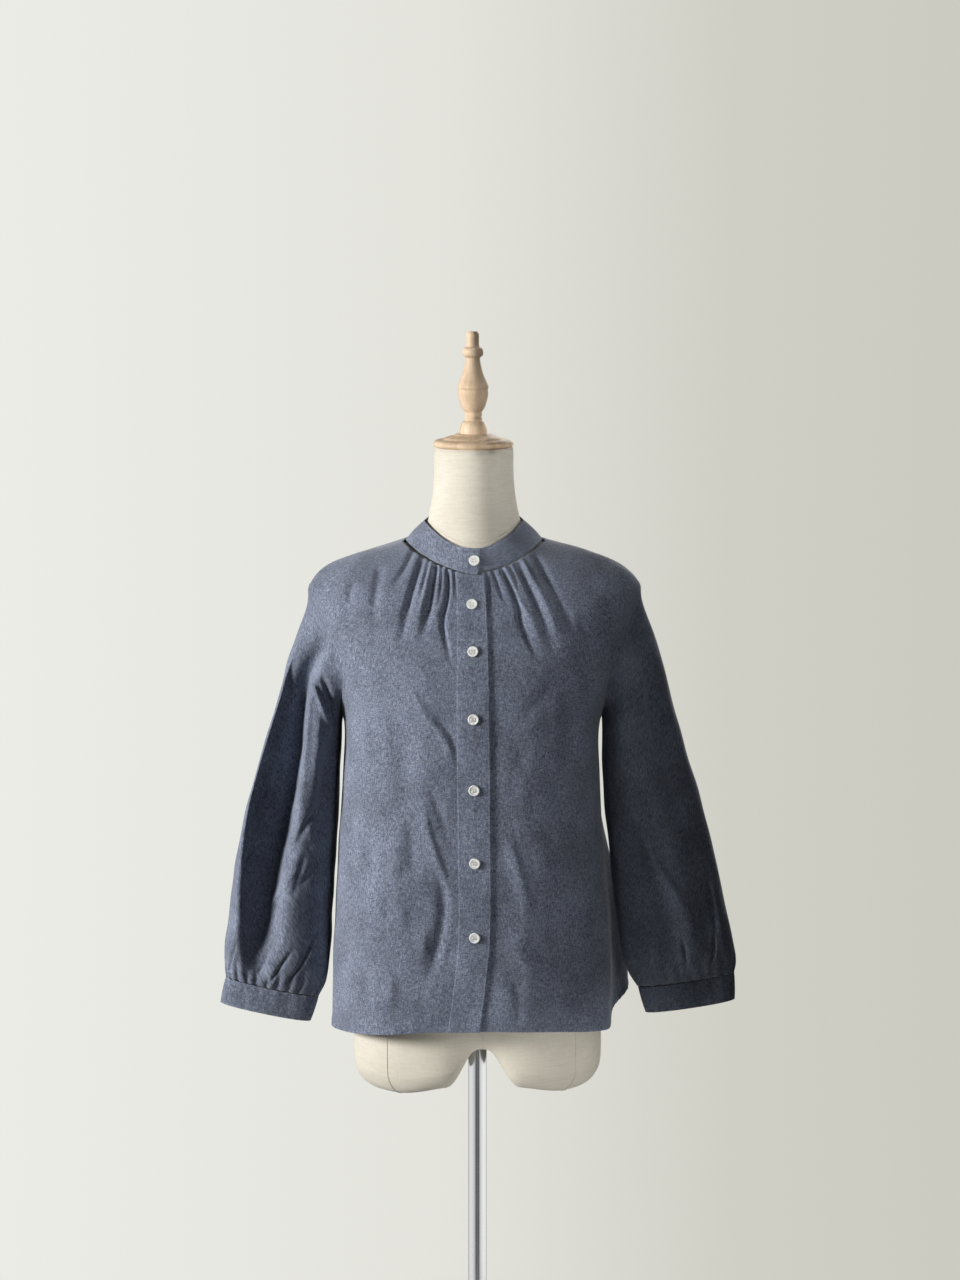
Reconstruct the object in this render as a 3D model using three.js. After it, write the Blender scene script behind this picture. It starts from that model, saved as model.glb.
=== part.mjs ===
// A band-collar shirt worn by a limbless dress form on a one-pole stand.
// Millimetres, +Z up. The shirt's front faces -Y, and the wearer's right side is at -X.
// Every cloth piece is a thin wall laid on one garment surface, so neighbours share their seams.
import * as THREE from "three";

// Driving sizes of the cloth
const CLOTH = 1.6; // wall of a cloth panel
const BAND = 1.3; // wall of the placket
const PLACKET_GAP = 0.45; // between the placket and the front under it
const SEAM = 0.36; // free gap where two pieces are sewn together
const LAP = 2.1; // how far the upper front lies outside the lower one
const COLLAR_TAB = 13; // how far the collar's upper end runs past the middle
const COLLAR_UNDERLAP = 12; // how far its lower end runs under the upper one
const COLLAR_RAMP = { from: 0.1, to: 0.42 }; // where the collar's upper end rises on to the lower, in radians
const COLLAR_BULGE = 1.6; // how far the collar's middle stands out

// Driving sizes of the stand and the form
const LEAN = -0.0065; // the form leans a little to the wearer's right, in radians
const LEAN_PIVOT = 700;
const POLE_R = 12.7;
const POLE_TOP = 722;
const BASE_R = 165;
const BASE_THICK = 9;
const HUB_R = 24;
const HUB_TOP = 48;
const SOCKET_GAP = 0.45; // between the pole and what it stands in
const CAP_TILT = 0.09; // the neck plate tips towards the front, in radians
const CAP_CENTRE = { y: -12, z: 1498.5 };
const CAP_GAP = 0.35; // between the neck plate and the form under it

// Rings of the garment from hem (at 0) to neckline (at 1). Each ring is an oval in plan, squarer where
// "square" is larger, whose height differs at the front, the sides and the back. "left" and "right" are
// half widths as the viewer sees them.
const ring = (at, zFront, zSide, zBack, left, right, front, back, square) => ({
  at,
  zFront,
  zSide,
  zBack,
  left,
  right,
  front,
  back,
  square,
});
const RINGS = [
  ring(0.0, 732, 712, 778, 199, 183, 134, 152, 2.5),
  ring(0.18, 851, 838, 876, 195, 183, 136, 143, 2.5),
  ring(0.34, 955, 948, 965, 188, 174, 139, 134, 2.5),
  ring(0.5, 1058, 1050, 1058, 181, 168, 143, 128, 2.5),
  ring(0.64, 1146, 1128, 1135, 178, 169, 145, 126, 2.5),
  ring(0.74, 1206, 1196, 1196, 192, 190, 137, 125, 2.4),
  ring(0.82, 1250, 1262, 1255, 213, 213, 122, 121, 2.3),
  ring(0.88, 1280, 1309, 1300, 224, 224, 110, 114, 2.2),
  ring(0.91, 1294, 1337, 1330, 203, 202, 104, 106, 2.15),
  ring(0.95, 1313, 1357, 1366, 158, 158, 95, 92, 2.1),
  ring(1.0, 1335, 1374, 1398, 92, 92, 85, 72, 2.0),
];
// How evenly the back of the hem rises from side to middle: 1 is even, 2 is slow at the side.
const HEM_BOW = 1.2;
const ARMPIT = 0.655;
const SHOULDER = 0.88;
// The rings at which the panels, the placket and the armholes have their points, so that neighbours match.
const SKIRT_LEVELS = [0, 0.02, 0.12, 0.26, 0.4, 0.53, 0.62];
const ARMHOLE_LEVELS = [ARMPIT, 0.67, 0.7, 0.735, 0.775, 0.815, 0.85, 0.872, SHOULDER];
const YOKE_LEVELS = [0.905, 0.935, 0.965, 1];
// Half an armhole's widest opening, in radians round the body, and how full its curve is: less is fuller.
const ARMHOLE_ANGLE = { right: 0.53, left: 0.45 };
const ARMHOLE_FULLNESS = 0.62;
const NECKLINE = 1;
const NECK = RINGS.at(-1);

// The placket's two edges, as the viewer sees them, at heights down the front.
const PLACKET_EDGES = [
  { z: 733, left: -38, right: 4 },
  { z: 800, left: -29, right: 13 },
  { z: 859, left: -23.5, right: 18.5 },
  { z: 958, left: -23, right: 19.5 },
  { z: 1055, left: -23.5, right: 19.5 },
  { z: 1147, left: -23.5, right: 19 },
  { z: 1232, left: -22.5, right: 18 },
  { z: 1294, left: -22, right: 15.5 },
  { z: 1335, left: -22, right: 11 },
];
const UNDERLAP = 20; // how far the lower front runs under the placket, from its right edge
const LAP_RAMP = 26; // over this width the upper front rises on to the lower one
// The upper front and its collar end sink towards the middle of the neckline.
const DROOP = { drop: 6, from: -40, to: 12, ringHeight: 450, collarHeight: 31, starts: 0.86 };

// Troughs of cloth that run down from the neckline: where each starts and ends across the front,
// the height of its foot, its half width at top and foot, and its depth.
const GATHERS = [
  { top: -80, foot: -108, zFoot: 1296, narrow: 4.0, wide: 8, depth: 5.5 },
  { top: -70, foot: -99, zFoot: 1262, narrow: 2.6, wide: 8, depth: 5.2 },
  { top: -60.5, foot: -96, zFoot: 1216, narrow: 3.0, wide: 9, depth: 7.0 },
  { top: -47, foot: -74, zFoot: 1222, narrow: 2.7, wide: 9, depth: 6.5 },
  { top: -40, foot: -55, zFoot: 1258, narrow: 1.8, wide: 5, depth: 3.6 },
  { top: -35, foot: -38, zFoot: 1250, narrow: 1.7, wide: 5, depth: 6.0 },
  { top: -29.5, foot: -31, zFoot: 1278, narrow: 1.6, wide: 4, depth: 3.1 },
  { top: 20.5, foot: 24, zFoot: 1270, narrow: 1.6, wide: 5, depth: 4.4 },
  { top: 25.8, foot: 31, zFoot: 1262, narrow: 1.7, wide: 5, depth: 3.6 },
  { top: 31.2, foot: 44, zFoot: 1268, narrow: 1.8, wide: 5, depth: 3.9 },
  { top: 40.5, foot: 66, zFoot: 1252, narrow: 2.2, wide: 5, depth: 6.8 },
  { top: 47, foot: 72, zFoot: 1290, narrow: 2.2, wide: 5, depth: 3.4 },
  { top: 58, foot: 88, zFoot: 1222, narrow: 3.2, wide: 9, depth: 7.0 },
  { top: 69.5, foot: 124, zFoot: 1224, narrow: 3.2, wide: 9, depth: 6.5 },
  { top: 80, foot: 120, zFoot: 1290, narrow: 3.6, wide: 8, depth: 4.2 },
];

// How a gather shows down its length: it opens, holds and dies out, as shares of its length.
const GATHER_FADE = { start: 0.55, full: 0.16, from: 0.35, to: 1.1, last: 1.15, aboveNeck: 5 };
// The cloth puffs out a little just under the collar, on both sides of the placket.
const PUFF = { depth: 1.6, at: 50, half: 34, from: 0.9 };

// Long soft waves of the hanging body: direction round the body in degrees from the front,
// half width in degrees, depth at the hem, and the ring where the wave has died out.
const DRAPES = [
  { turn: -64, half: 11, depth: -4, fade: 0.5 },
  { turn: -36, half: 12, depth: 5, fade: 0.52 },
  { turn: 34, half: 11, depth: -4, fade: 0.4 },
  { turn: 62, half: 10, depth: 5, fade: 0.5 },
  { turn: 121, half: 14, depth: 50, fade: 0.62 },
  { turn: 146, half: 9, depth: -9, fade: 0.66 },
  { turn: 172, half: 13, depth: 8, fade: 0.6 },
  { turn: 204, half: 10, depth: -9, fade: 0.64 },
  { turn: 232, half: 13, depth: 9, fade: 0.7 },
];

// Sleeve sections from armhole (0) to cuff (1), as distances from the middle of the body: the outer and
// inner sides of the wearer's right and left sleeves, and the front and back of both.
const SLEEVE_SECTIONS = [
  { at: 0.0, outerRight: 224, innerRight: 178, outerLeft: 224, innerLeft: 172, front: -57, back: 53 },
  { at: 0.1, outerRight: 243, innerRight: 181, outerLeft: 243, innerLeft: 172, front: -61, back: 57 },
  { at: 0.25, outerRight: 262, innerRight: 183, outerLeft: 262, innerLeft: 172, front: -61, back: 61 },
  { at: 0.4, outerRight: 287, innerRight: 186, outerLeft: 283, innerLeft: 173, front: -60, back: 63 },
  { at: 0.55, outerRight: 311, innerRight: 190, outerLeft: 307, innerLeft: 177, front: -57, back: 62 },
  { at: 0.7, outerRight: 329, innerRight: 196, outerLeft: 327, innerLeft: 184, front: -53, back: 60 },
  { at: 0.82, outerRight: 338, innerRight: 200, outerLeft: 341, innerLeft: 191, front: -48, back: 57 },
  { at: 0.92, outerRight: 346, innerRight: 203, outerLeft: 352, innerLeft: 199, front: -41, back: 50 },
  { at: 0.97, outerRight: 347, innerRight: 208, outerLeft: 356, innerLeft: 208, front: -29, back: 36 },
  { at: 1.0, outerRight: 345, innerRight: 218, outerLeft: 353, innerLeft: 220, front: -19, back: 19 },
];
// The long pleat down each sleeve. Its sharp line lies at "turn", in degrees round the sleeve, where 0 is
// outside and 90 the front. The cloth sinks "back" there, softly over "before" and sharply over "after",
// and stands forward by "ridge" near its outer edge, at "crest".
const pleat = (at, turn, before, after, back, crest, ridge) => ({
  at,
  turn,
  before,
  after,
  back,
  crest,
  ridge,
});
const PLEATS = {
  right: [
    pleat(0, 68, 9, 6, 0, 30, 0),
    pleat(0.05, 71, 12, 6, 11, 30, 1),
    pleat(0.12, 73, 19, 6, 25, 26, 9),
    pleat(0.22, 75, 27, 6, 38, 18, 20),
    pleat(0.4, 84, 36, 7, 50, 16, 26),
    pleat(0.55, 84, 34, 9, 50, 20, 24),
    pleat(0.7, 80, 27, 12, 42, 32, 16),
    pleat(0.85, 76, 21, 13, 30, 40, 9),
    pleat(1, 68, 12, 12, 0, 44, 0),
  ],
  left: [
    pleat(0, 62, 12, 10, 0, 30, 0),
    pleat(0.08, 62, 14, 10, 7, 30, 2),
    pleat(0.22, 58, 18, 12, 15, 26, 5),
    pleat(0.4, 56, 20, 16, 13, 24, 4),
    pleat(0.6, 56, 20, 20, 6, 24, 2),
    pleat(0.8, 58, 14, 14, 8, 28, 2),
    pleat(1, 60, 12, 12, 0, 30, 0),
  ],
};
const PLEAT_COLUMNS = ["turn", "before", "after", "back", "crest", "ridge"];
const PLEAT_STARTS = 0.02;
const CREST_HALF = 17; // half width of the outer ridge, in degrees
const PLEAT_LINE = 74; // the place in SLEEVE_TURNS that follows the pleat's sharp line
const PLEAT_REACH = 72; // how far round the sleeve the points shift with it, in degrees
const SLEEVES = [
  {
    side: "right", // the wearer's right, at -X
    sign: -1,
    outer: "outerRight",
    inner: "innerRight",
    top: { outer: 345, zOuter: 777, inner: 218, zInner: 748 },
    bottom: { outer: 353, zOuter: 742, inner: 229, zInner: 715 },
    // Soft folds: place round the sleeve in degrees, how far it wanders over its length, its half width,
    // where it starts and ends down the sleeve, and its depth.
    folds: [
      { turn: 112, lean: 14, half: 9, from: 0.12, to: 0.5, depth: -4 },
      { turn: 136, lean: -16, half: 13, from: 0.2, to: 0.62, depth: 8 },
      { turn: 262, lean: 8, half: 18, from: 0.12, to: 0.88, depth: 9 },
    ],
  },
  {
    side: "left",
    sign: 1,
    outer: "outerLeft",
    inner: "innerLeft",
    top: { outer: 353, zOuter: 778, inner: 221, zInner: 759 },
    bottom: { outer: 354, zOuter: 742, inner: 231, zInner: 724 },
    folds: [
      { turn: 118, lean: 6, half: 16, from: 0.1, to: 0.6, depth: -6 },
      { turn: 258, lean: -8, half: 18, from: 0.15, to: 0.9, depth: 9 },
    ],
  },
];
const SLEEVE_SQUARE = 2.3; // how square a sleeve and its cuff are in plan
const SLEEVE_LEAVE = { over: 0.22, power: 2.4 }; // how the sleeve grows from its armhole to its full section
const INNER_SLACK = 0.7; // how much later the inside of a sleeve falls than the outside
const FOLD_ENDS = 0.7; // how bluntly a fold ends: less is blunter
// Places of a sleeve's points round it, in degrees, closer together where the long fold is.
const SLEEVE_TURNS = [
  ...[0, 14, 28, 41, 52, 61, 68, 74, 81, 92, 107, 123, 140, 157, 174],
  ...[191, 208, 225, 242, 259, 276, 293, 314, 337, 360],
];
const SLEEVE_WAVES = 19; // gathers round the cuff seam
const WAVE = { depth: 2.6, from: 0.9, full: 0.985, eased: 0.35 };
const CUFF_DEPTH = 19; // half the cuff's depth from front to back
const CUFF_SWELL = 0.6; // how far the cuff's middle stands out
const CUFF_WALL = 2; // wall of a cuff, which is folded double
const CUFF_DROP = SEAM + 0.3; // from the sleeve's foot down to the cuff

// The form: rings from the neck down, in the same terms as the garment's.
const NECK_RINGS = [
  { zFront: 1493, zSide: 1498, zBack: 1503, half: 53.5, front: 66, back: 42 },
  { zFront: 1450, zSide: 1455, zBack: 1459, half: 54, front: 65, back: 44 },
  { zFront: 1413, zSide: 1427, zBack: 1437, half: 57, front: 65, back: 48 },
  { zFront: 1388, zSide: 1411, zBack: 1424, half: 60, front: 66, back: 53 },
  { zFront: 1366, zSide: 1397, zBack: 1413, half: 63, front: 68, back: 57 },
  { zFront: 1350, zSide: 1385, zBack: 1403, half: 73, front: 71, back: 60 },
  { zFront: 1338, zSide: 1372, zBack: 1394, half: 86, front: 75, back: 65 },
];
// Where the garment rests on the form: the garment's own rings, drawn in by its wall and this air.
const SEAT_RINGS = [
  { at: 0.965, air: 0.8, standOff: 8 },
  { at: 0.935, air: 0.6, standOff: 12 },
  { at: 0.905, air: 1.6, standOff: 17 },
];
const TORSO_RINGS = [
  { zFront: 1268, zSide: 1311, zBack: 1284, half: 194, front: 90, back: 94, square: 2.2 },
  { zFront: 1240, zSide: 1262, zBack: 1250, half: 180, front: 106, back: 101, square: 2.3 },
  { zFront: 1200, zSide: 1205, zBack: 1205, half: 163, front: 123, back: 104, square: 2.4 },
  { zFront: 1150, zSide: 1150, zBack: 1150, half: 152, front: 131, back: 103, square: 2.5 },
  { zFront: 1085, zSide: 1085, zBack: 1085, half: 138, front: 112, back: 97, square: 2.4 },
  { zFront: 1005, zSide: 1005, zBack: 1005, half: 124, front: 93, back: 88, square: 2.3 },
  { zFront: 920, zSide: 920, zBack: 920, half: 143, front: 98, back: 100, square: 2.3 },
  { zFront: 835, zSide: 835, zBack: 835, half: 162, front: 106, back: 115, square: 2.4 },
  { zFront: 765, zSide: 765, zBack: 765, half: 170, front: 110, back: 121, square: 2.4 },
  { zFront: 712, zSide: 712, zBack: 712, half: 169, front: 109, back: 119, square: 2.4 },
];
const SEAT_HALF = 190; // the form's widest half at the shoulder
const STUMP = { edge: 668, floor: 632, arch: 699, middle: 7, roundness: 27 };
// The arch between the lobes: how fast it falls beside its middle, steeply first and then slowly.
const ARCH = { from: 3, steepTo: 48, steepShare: 0.84, slowFrom: 38, slowTo: 112 };
// Places of the form's points round it, in degrees from the front, for a quarter: closer at the arch.
const FORM_TURNS = [0, 5, 10, 16, 23, 32, 43, 56, 72];
const GROOVE = { half: 0.2, depth: 14, from: 790 }; // the crease between the two lobes of the hip
const SOCKET_TOP = 736;

// Turned wood: outline points of the neck plate and the finial, from the axis out and up.
const PLATE_PROFILE = [
  { r: 50.5, z: 0 },
  { r: 53, z: 1.8 },
  { r: 53.8, z: 4.6 },
  { r: 52.6, z: 7.6 },
  { r: 49, z: 9.6 },
  { r: 41, z: 10.4 },
  { r: 38.6, z: 12.2 },
  { r: 33, z: 14.2 },
  { r: 27, z: 15.4 },
  { r: 24, z: 17.4 },
];
const FINIAL_PROFILE = [
  { r: 18.4, z: 17.8 },
  { r: 18.6, z: 22 },
  { r: 17.2, z: 28 },
  { r: 14.6, z: 33.4 },
  { r: 11.4, z: 35 },
  { r: 12.2, z: 37.4 },
  { r: 11, z: 40 },
  { r: 11.9, z: 43 },
  { r: 11.4, z: 46 },
  { r: 14.6, z: 50.6 },
  { r: 18, z: 60 },
  { r: 20.4, z: 72 },
  { r: 19.6, z: 76.6 },
  { r: 20.8, z: 79.4 },
  { r: 18.2, z: 87.6 },
  { r: 13.8, z: 98 },
  { r: 10.6, z: 110 },
  { r: 9.8, z: 118.6 },
  { r: 13, z: 121 },
  { r: 14.2, z: 126 },
  { r: 12.8, z: 131 },
  { r: 8.9, z: 133.4 },
  { r: 8.4, z: 149.6 },
  { r: 6.6, z: 153.2 },
];

// Buttons: the height of each on the front, the first being the collar's own.
const BUTTON_HEIGHTS = [1348.5, 1293.6, 1232.4, 1147, 1054.5, 958, 858.8];
const BUTTON_R = 7.1;
const BUTTON_THICK = 2.5;
const BUTTON_SIDES = 16;
const BUTTON_HOLE_R = 0.85;
const BUTTON_HOLE_AT = 1.75;

// Colours
const CHAMBRAY = { color: 0x56627a, roughness: 0.9, metalness: 0 };
const SHELL_WHITE = { color: 0xeceae2, roughness: 0.35, metalness: 0 };
const LINEN = { color: 0xe2dcc9, roughness: 0.92, metalness: 0 };
const BEECH = { color: 0xd9b993, roughness: 0.6, metalness: 0 };
const CHROME = { color: 0xb9bbbd, roughness: 0.16, metalness: 1 };

const RIGHT_ANGLE = Math.PI / 2;
const mix = THREE.MathUtils.lerp;
const smooth = (low, high, x) => THREE.MathUtils.smoothstep(x, low, high);
const bell = (x, half) => Math.exp(-((x / half) ** 2));

// A smooth curve through one named column of a table whose rows are in order of the column "by".
function column(rows, name, by, x) {
  const last = rows.length - 1;
  let i = 0;
  while (i < last - 1 && x > rows[i + 1][by]) i++;
  const [a, b] = [rows[i], rows[i + 1]];
  const before = rows[Math.max(i - 1, 0)];
  const after = rows[Math.min(i + 2, last)];
  const span = b[by] - a[by];
  const slope = (p, q) => (q[name] - p[name]) / Math.max(q[by] - p[by], 1e-9);
  const startSlope = slope(before, b) * span;
  const endSlope = slope(a, after) * span;
  const s = THREE.MathUtils.clamp((x - a[by]) / span, 0, 1);
  const s2 = s * s;
  const s3 = s2 * s;
  return (
    (2 * s3 - 3 * s2 + 1) * a[name] +
    (s3 - 2 * s2 + s) * startSlope +
    (3 * s2 - 2 * s3) * b[name] +
    (s3 - s2) * endSlope
  );
}

// How far a squared oval reaches in a direction, for an oval of half width one.
const swellOf = (s, c, square) => (Math.abs(s) ** square + Math.abs(c) ** square) ** (-1 / square);

// A point on an oval ring. The angle is 0 at the middle of the front and a right angle at the viewer's right.
function onRing({ left, right, front, back, square, bow, zFront, zSide, zBack }, angle) {
  const [s, c] = [Math.sin(angle), Math.cos(angle)];
  const swell = swellOf(s, c, square);
  const width = s < 0 ? left : right;
  const depth = c > 0 ? front : back;
  const z = c > 0 ? mix(zSide, zFront, c * c) : mix(zSide, zBack, Math.abs(c) ** bow);
  return new THREE.Vector3(width * s * swell, -depth * c * swell, z);
}

const RING_COLUMNS = ["zFront", "zSide", "zBack", "left", "right", "front", "back", "square"];
function garmentRing(at) {
  const ring = Object.fromEntries(RING_COLUMNS.map((name) => [name, column(RINGS, name, "at", at)]));
  return { ...ring, bow: mix(HEM_BOW, 2, smooth(0, 0.5, at)) };
}
const garmentPoint = (at, angle) => onRing(garmentRing(at), angle);

// The outward direction of a surface given as a function of two numbers.
function outward(surface, a, b, step = 0.004) {
  const alongA = surface(a + step, b).sub(surface(a - step, b));
  const alongB = surface(a, b + step).sub(surface(a, b - step));
  return alongB.cross(alongA).normalize();
}
const garmentOutward = (at, angle) => outward(garmentPoint, Math.min(at, NECKLINE - 0.004), angle);

// Depth of the gathers at a place on the front, negative into the cloth.
function gatherDepth(point, at) {
  let depth = 0;
  for (const g of GATHERS) {
    const neckZ = mix(NECK.zFront, NECK.zSide, Math.min(Math.abs(point.x) / NECK.left, 1) ** 2);
    const down = (neckZ - point.z) / (NECK.zFront + GATHER_FADE.aboveNeck - g.zFoot);
    if (down > GATHER_FADE.last) continue;
    const share = THREE.MathUtils.clamp(down, 0, 1);
    const centre = mix(g.top, g.foot, share);
    const half = mix(g.narrow, g.wide, share);
    const opening = mix(GATHER_FADE.start, 1, smooth(0, GATHER_FADE.full, share));
    const strength = opening * (1 - smooth(GATHER_FADE.from, GATHER_FADE.to, down));
    depth -= g.depth * strength * bell(point.x - centre, half);
  }
  return depth + PUFF.depth * smooth(PUFF.from, 1, at) * bell(Math.abs(point.x) - PUFF.at, PUFF.half);
}

function drapeDepth(at, angle) {
  const turned = (angle * 180) / Math.PI;
  let depth = 0;
  for (const d of DRAPES) {
    const apart = ((turned - d.turn + 540) % 360) - 180;
    depth += d.depth * bell(apart, d.half) * (1 - smooth(0, d.fade, at));
  }
  return depth;
}

// Cloth on the garment surface, lifted outwards by a distance.
function bodyCloth(at, angle, lift) {
  const base = garmentPoint(at, angle);
  const folds = drapeDepth(at, angle) + (Math.cos(angle) > 0 ? gatherDepth(base, at) : 0);
  return base.addScaledVector(garmentOutward(at, angle), folds + lift);
}

// The upper front: it rises on to the lower one, and sinks a little towards the middle of the neckline.
const droopAt = (x) => DROOP.drop * smooth(DROOP.from, DROOP.to, x);
function upperCloth(at, angle, lift) {
  const { x } = garmentPoint(at, angle);
  const lowerEnd = edgeOfPlacket("right", at) - UNDERLAP;
  const lowered = at - (droopAt(x) * smooth(DROOP.starts, 1, at)) / DROOP.ringHeight;
  return bodyCloth(lowered, angle, LAP * (1 - smooth(1, LAP_RAMP + 1, lowerEnd - x)) + lift);
}

// The armhole: how far its edge stands from the side line, towards the front or the back.
function armholeTurn(at, sign) {
  const up = (at - ARMPIT) / (SHOULDER - ARMPIT);
  const widest = sign < 0 ? ARMHOLE_ANGLE.right : ARMHOLE_ANGLE.left;
  return up <= 0 || up >= 1 ? 0 : widest * Math.sin(Math.PI * up) ** ARMHOLE_FULLNESS;
}

// The angle at which the garment surface is at a distance across the front.
function angleAcross(at, x) {
  const { left, right } = garmentRing(at);
  return Math.asin(THREE.MathUtils.clamp(x / (x < 0 ? left : right), -1, 1));
}
const edgeOfPlacket = (name, at) => column(PLACKET_EDGES, name, "z", garmentRing(at).zFront);

// Half of a seam's gap, as an angle at the side of the body.
const BODY_R = 120;
const SEAM_TURN = SEAM / 2 / BODY_R;

// A closed wall from rows of places. Each row is { at, across: [0..1] }; outer and inner give the points.
function wall(rows, outer, inner, closedRound = false) {
  const positions = [];
  const add = (p) => positions.push(p.x, p.y, p.z) / 3 - 1;
  const lay = (point) =>
    rows.map((row) => {
      const ids = row.across.map((u, i) =>
        closedRound && i === row.across.length - 1 ? null : add(point(row.at, u)),
      );
      if (closedRound) ids[ids.length - 1] = ids[0];
      return ids;
    });
  const skins = [lay(outer), lay(inner)];
  const faces = [];
  const quad = (a, b, c, d) => faces.push(a, b, c, a, c, d);
  skins.forEach((skin, layer) => {
    for (let r = 0; r + 1 < rows.length; r++)
      zip(rows[r].across, skin[r], rows[r + 1].across, skin[r + 1], layer, faces);
  });
  const [out, into] = skins;
  for (const [r, turned] of [
    [0, false],
    [rows.length - 1, true],
  ])
    for (let i = 0; i + 1 < out[r].length; i++)
      turned
        ? quad(out[r][i], out[r][i + 1], into[r][i + 1], into[r][i])
        : quad(out[r][i + 1], out[r][i], into[r][i], into[r][i + 1]);
  if (!closedRound)
    for (let r = 0; r + 1 < rows.length; r++) {
      const [end, next] = [out[r].length - 1, out[r + 1].length - 1];
      quad(out[r][0], out[r + 1][0], into[r + 1][0], into[r][0]);
      quad(out[r + 1][next], out[r][end], into[r][end], into[r + 1][next]);
    }
  return solidFrom(positions, faces);
}

// Triangles between two rows that may hold different numbers of points.
function zip(lowAcross, low, highAcross, high, turned, faces) {
  let [i, j] = [0, 0];
  while (i + 1 < low.length || j + 1 < high.length) {
    const stepLow = j + 1 >= high.length || (i + 1 < low.length && lowAcross[i + 1] <= highAcross[j + 1]);
    const face = stepLow ? [low[i], low[i + 1], high[j]] : [low[i], high[j + 1], high[j]];
    if (turned) face.reverse();
    faces.push(...face);
    if (stepLow) i++;
    else j++;
  }
}

// A geometry from points and faces, turned so that its faces point out.
function solidFrom(positions, faces) {
  let volume = 0;
  const at = (id) => new THREE.Vector3().fromArray(positions, 3 * id);
  for (let f = 0; f < faces.length; f += 3)
    volume += at(faces[f]).dot(at(faces[f + 1]).cross(at(faces[f + 2])));
  if (volume < 0)
    for (let f = 0; f < faces.length; f += 3) [faces[f], faces[f + 1]] = [faces[f + 1], faces[f]];
  const geometry = new THREE.BufferGeometry();
  geometry.setAttribute("position", new THREE.Float32BufferAttribute(positions, 3));
  geometry.setIndex(faces);
  geometry.computeVertexNormals();
  return geometry;
}

function evenly(count, low = 0, high = 1) {
  return Array.from({ length: count + 1 }, (_, i) => mix(low, high, i / count));
}

function named(name, geometry, look) {
  const mesh = new THREE.Mesh(geometry, new THREE.MeshStandardMaterial(look));
  mesh.name = name;
  return mesh;
}

// Rows of a front panel: the gathered top is finer than the hanging part.
function frontRows() {
  const gathered = [...evenly(28, 0, 0.46).slice(0, -1), ...evenly(7, 0.46, 1)];
  const middle = [...evenly(9, 0, 0.46).slice(0, -1), ...evenly(7, 0.46, 1)];
  const hanging = evenly(13);
  return [
    ...SKIRT_LEVELS.map((at) => ({ at, across: hanging })),
    ...ARMHOLE_LEVELS.slice(0, 5).map((at) => ({ at, across: middle })),
    ...[...ARMHOLE_LEVELS.slice(5), ...YOKE_LEVELS].map((at) => ({ at, across: gathered })),
  ];
}

// A front, from its edge under or at the placket to the side seam, armhole and shoulder seam.
function frontPanel(sign) {
  const isUpper = sign < 0;
  const place = (at, u) => {
    const edge = edgeOfPlacket("right", at) - (isUpper ? 0 : UNDERLAP);
    const start = angleAcross(at, edge);
    const end = sign * (RIGHT_ANGLE - armholeTurn(at, sign) - SEAM_TURN);
    return mix(start, end, u);
  };
  const skin = (inset) => (at, u) =>
    isUpper ? upperCloth(at, place(at, u), -inset) : bodyCloth(at, place(at, u), -inset);
  return wall(frontRows(), skin(0), skin(CLOTH));
}

function backPanel() {
  const across = evenly(24);
  const rows = [...SKIRT_LEVELS, ...ARMHOLE_LEVELS, ...YOKE_LEVELS].map((at) => ({ at, across }));
  const place = (at, u) => {
    const from = RIGHT_ANGLE + armholeTurn(at, 1) + SEAM_TURN;
    const to = RIGHT_ANGLE + armholeTurn(at, -1) + SEAM_TURN;
    return mix(from, 2 * Math.PI - to, u);
  };
  const skin = (inset) => (at, u) => bodyCloth(at, place(at, u), -inset);
  return wall(rows, skin(0), skin(CLOTH));
}

// The placket: a band laid on the upper front, from just under the collar to the hem.
function placket() {
  const levels = [...SKIRT_LEVELS, ...ARMHOLE_LEVELS, ...YOKE_LEVELS.slice(0, -1), 0.9985];
  const rows = levels.map((at) => ({ at, across: evenly(4) }));
  const skin = (lift) => (at, u) => {
    const x = mix(edgeOfPlacket("left", at), edgeOfPlacket("right", at) - 0.2, u);
    return upperCloth(at, angleAcross(at, x), PLACKET_GAP + lift);
  };
  return wall(rows, skin(BAND), skin(0));
}

// The band collar, from its upper end past the middle, round the neck, to its lower end under the first.
const COLLAR_TOP = {
  zFront: 1364,
  zSide: 1400,
  zBack: 1429,
  left: 67,
  right: 66.5,
  front: 73,
  back: 62,
  square: 2,
  bow: 2,
};
function collarPoint(up, angle, lift) {
  const seam = garmentRing(NECKLINE);
  const surface = (share, turn) => {
    const low = onRing(seam, turn);
    const bulge = COLLAR_BULGE * Math.sin(Math.PI * THREE.MathUtils.clamp(share, 0, 1));
    const point = low.lerp(onRing(COLLAR_TOP, turn), share);
    return point.add(new THREE.Vector3(Math.sin(turn), -Math.cos(turn), 0).multiplyScalar(bulge));
  };
  return surface(up, angle).addScaledVector(outward(surface, up, angle), lift);
}
function collar() {
  const upperEnd = (up) => angleAcross(NECKLINE, mix(COLLAR_TAB - 4, COLLAR_TAB, up));
  const lowerEnd = angleAcross(NECKLINE, -COLLAR_UNDERLAP);
  const rows = [0, 0.33, 0.67, 1].map((at) => ({ at, across: evenly(38) }));
  const angleOf = (up, u) => mix(upperEnd(up), lowerEnd - 2 * Math.PI, u);
  // The upper end stands outside the lower one, and droops a little past the seam.
  const skin = (inset) => (up, u) => {
    const angle = angleOf(up, u);
    const over = LAP * (1 - smooth(COLLAR_RAMP.from, COLLAR_RAMP.to, -angle));
    const droop = angle > -1 ? droopAt(collarPoint(up, angle, 0).x) : 0;
    const point = collarPoint(up - ((1 - up) * droop) / DROOP.collarHeight, angle, over - inset);
    point.z += SEAM;
    return point;
  };
  return wall(rows, skin(0), skin(CLOTH));
}

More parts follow.
